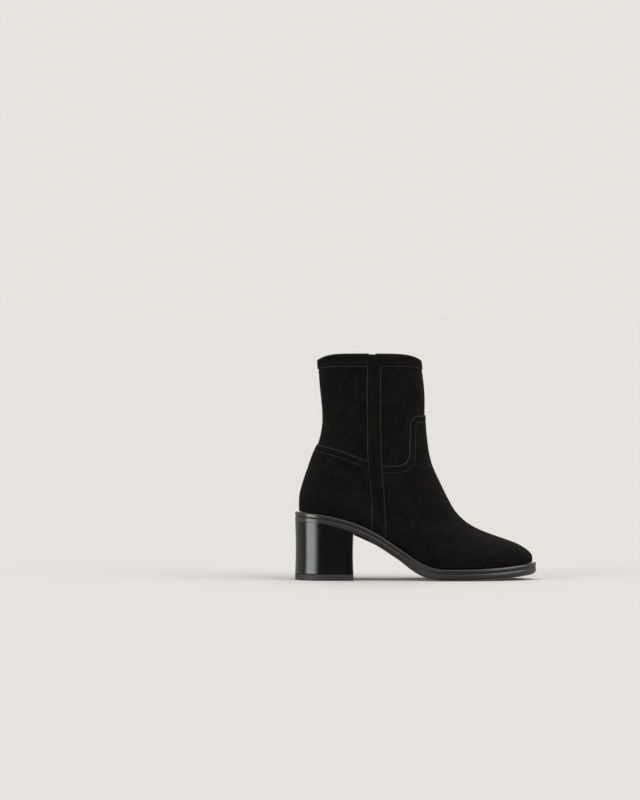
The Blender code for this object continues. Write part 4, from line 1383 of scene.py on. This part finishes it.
# Piano lacquer rubbed down between coats. It mirrors the studio softly, and the rubbing leaves
# faint upright streaks.
LACQUER_STREAK = 0.0016
lacquer, shader = new_finish("black_heel_lacquer", Roughness=0.22, Coat_Weight=0.8, Coat_Roughness=0.10)
streak = noise(lacquer, LACQUER_STREAK, 3.0, (1.0, 1.0, 0.03))
glossed(lacquer, shader, streak, 0.12, 0.32)
feed(shader, "Base Color", colour_ramp(lacquer, streak, ((0.35, "070708"), (0.70, "121214"))))
block = heel_block("heel_block_lacquered", heel_levels)
fit(block, lacquer, "heel_lacquer", "heel_block")

# Lift: dense black rubber, sanded with the block and pinned to it, matt with a fine grit.
LIFT_GRIT = 0.0007
turned = np.linspace(0, math.pi / 2, 5)
quarter = [(HEEL_EDGE * (1 - math.cos(a)), HEEL_EDGE * (1 - math.sin(a))) for a in turned]
lift_levels = [(down, TOP_PIECE - away) for away, down in quarter] + quarter
lift_levels = [(inset, lambda x, high=high: np.full_like(x, high)) for inset, high in lift_levels]
lift_rubber, shader = new_finish("black_lift_rubber", Base_Color=ink("343332"), Roughness=0.55)
grit = noise(lift_rubber, LIFT_GRIT, 3.0)
glossed(lift_rubber, shader, grit, 0.45, 0.70)
bumped(lift_rubber, shader, grit, 0.3, 0.0001)
lift = heel_block("top_piece_lift", lift_levels)
fit(lift, lift_rubber, "top_piece_rubber", "top_piece")


# Sock: the insole covered in glove leather, which shows down the shaft.
INSOLE_THICK = 0.0025
INSOLE_MARGIN = 0.0016
INSOLE_INSET = UPPER_INSET + WALL + INSOLE_MARGIN
sock_profile = [(INSOLE_INSET, -SEAT_GAP - INSOLE_THICK), (INSOLE_INSET, -SEAT_GAP)]
sock = sole_layer("sock_insole", sock_profile, sole_under, sole_shares())
fit(sock, lining_leather, "sock_leather", "insole")


# Stage: a plain pale floor, soft studio light and the photo's long lens.
floor_mesh = bpy.data.meshes.new("floor")
floor_mesh.from_pydata([(-40, -40, 0), (40, -40, 0), (40, 40, 0), (-40, 40, 0)], [], [(0, 1, 2, 3)])
floor = bpy.data.objects.new("floor", floor_mesh)
bpy.context.scene.collection.objects.link(floor)
floor_paint, shader = new_finish("pale_floor_paint", Base_Color=ink("dad6d2"), Roughness=0.9)
floor_mesh.materials.append(floor_paint)
floor.visible_glossy = False

LEFT_BOX = 3.7
TOP_BOX = 1.7
FRONT_ROOM = 0.06
RIGHT_BOX = 2.0
BACK_ROOM = 0.36
PALE = ink("e6e2df")
COOL = (0.985, 1.0, 1.01, 1.0)
world = bpy.data.worlds.new("studio")
bpy.context.scene.world = world
world.use_nodes = True
world.node_tree.nodes.clear()


def worked(kind, *values):
    """Maths node of the studio's light on values or outputs."""
    return add_node(world, "ShaderNodeMath", dict(enumerate(values)), operation=kind).outputs[0]


def ramped(angle, low, high, dark, bright):
    """Brightness that eases from dark to bright as an angle in degrees goes from low to high."""
    span = {"From Min": math.radians(low), "From Max": math.radians(high), "To Min": dark, "To Max": bright}
    return add_node(
        world, "ShaderNodeMapRange", {"Value": angle, **span}, interpolation_type="SMOOTHSTEP"
    ).outputs[0]


def glow(colour, strength):
    """Even light from all round of a colour and a strength."""
    return add_node(world, "ShaderNodeBackground", {"Color": colour, "Strength": strength}).outputs[0]


generated = add_node(world, "ShaderNodeTexCoord", {}).outputs["Generated"]
way = add_node(world, "ShaderNodeSeparateXYZ", {0: generated}).outputs
azimuth = worked("ARCTAN2", way[0], worked("MULTIPLY", way[1], -1.0))
elevation = worked("ARCSINE", way[2])
left_box = worked(
    "MULTIPLY",
    worked("MULTIPLY", ramped(azimuth, -84, -72, 0, LEFT_BOX), ramped(azimuth, -52, -28, 1, 0)),
    worked("MULTIPLY", ramped(elevation, -30, -26, 0, 1), ramped(elevation, 20, 46, 1, 0)),
)
right_box = worked(
    "MULTIPLY",
    worked("MULTIPLY", ramped(azimuth, 22, 40, 0, RIGHT_BOX), ramped(azimuth, 80, 95, 1, 0)),
    ramped(elevation, -5, 15, 0, 1),
)
boxes = worked("ADD", worked("ADD", left_box, right_box), ramped(elevation, 40, 70, 0, TOP_BOX))
room = ramped(worked("ABSOLUTE", azimuth), 60, 110, FRONT_ROOM, BACK_ROOM)
studio = add_node(world, "ShaderNodeAddShader", {0: glow(COOL, boxes), 1: glow(PALE, room)})
seen = add_node(world, "ShaderNodeLightPath", {}).outputs["Is Camera Ray"]
either = add_node(world, "ShaderNodeMixShader", {0: seen, 1: studio.outputs[0], 2: glow(PALE, 1.0)})
add_node(world, "ShaderNodeOutputWorld", {0: either.outputs[0]})

CAMERA_DISTANCE = 6.0
CAMERA_X = -0.0042
CAMERA_HEIGHT = 0.300
PIXELS_PER_METRE = 1000
FRAME_CENTRE_Z = CAMERA_HEIGHT - 0.1204
eye = bpy.data.cameras.new("photo_lens")
eye.sensor_width = 36.0
eye.lens = 36.0 * CAMERA_DISTANCE * PIXELS_PER_METRE / 800
eye.clip_start, eye.clip_end = 0.1, 60.0
camera = bpy.data.objects.new("photo_camera", eye)
bpy.context.scene.collection.objects.link(camera)
camera.location = (CAMERA_X, -CAMERA_DISTANCE, CAMERA_HEIGHT)
camera.rotation_euler = (math.pi / 2 - math.atan((CAMERA_HEIGHT - FRAME_CENTRE_Z) / CAMERA_DISTANCE), 0, 0)
bpy.context.scene.camera = camera
bpy.context.scene.view_settings.view_transform = "Standard"

bpy.context.view_layer.update()
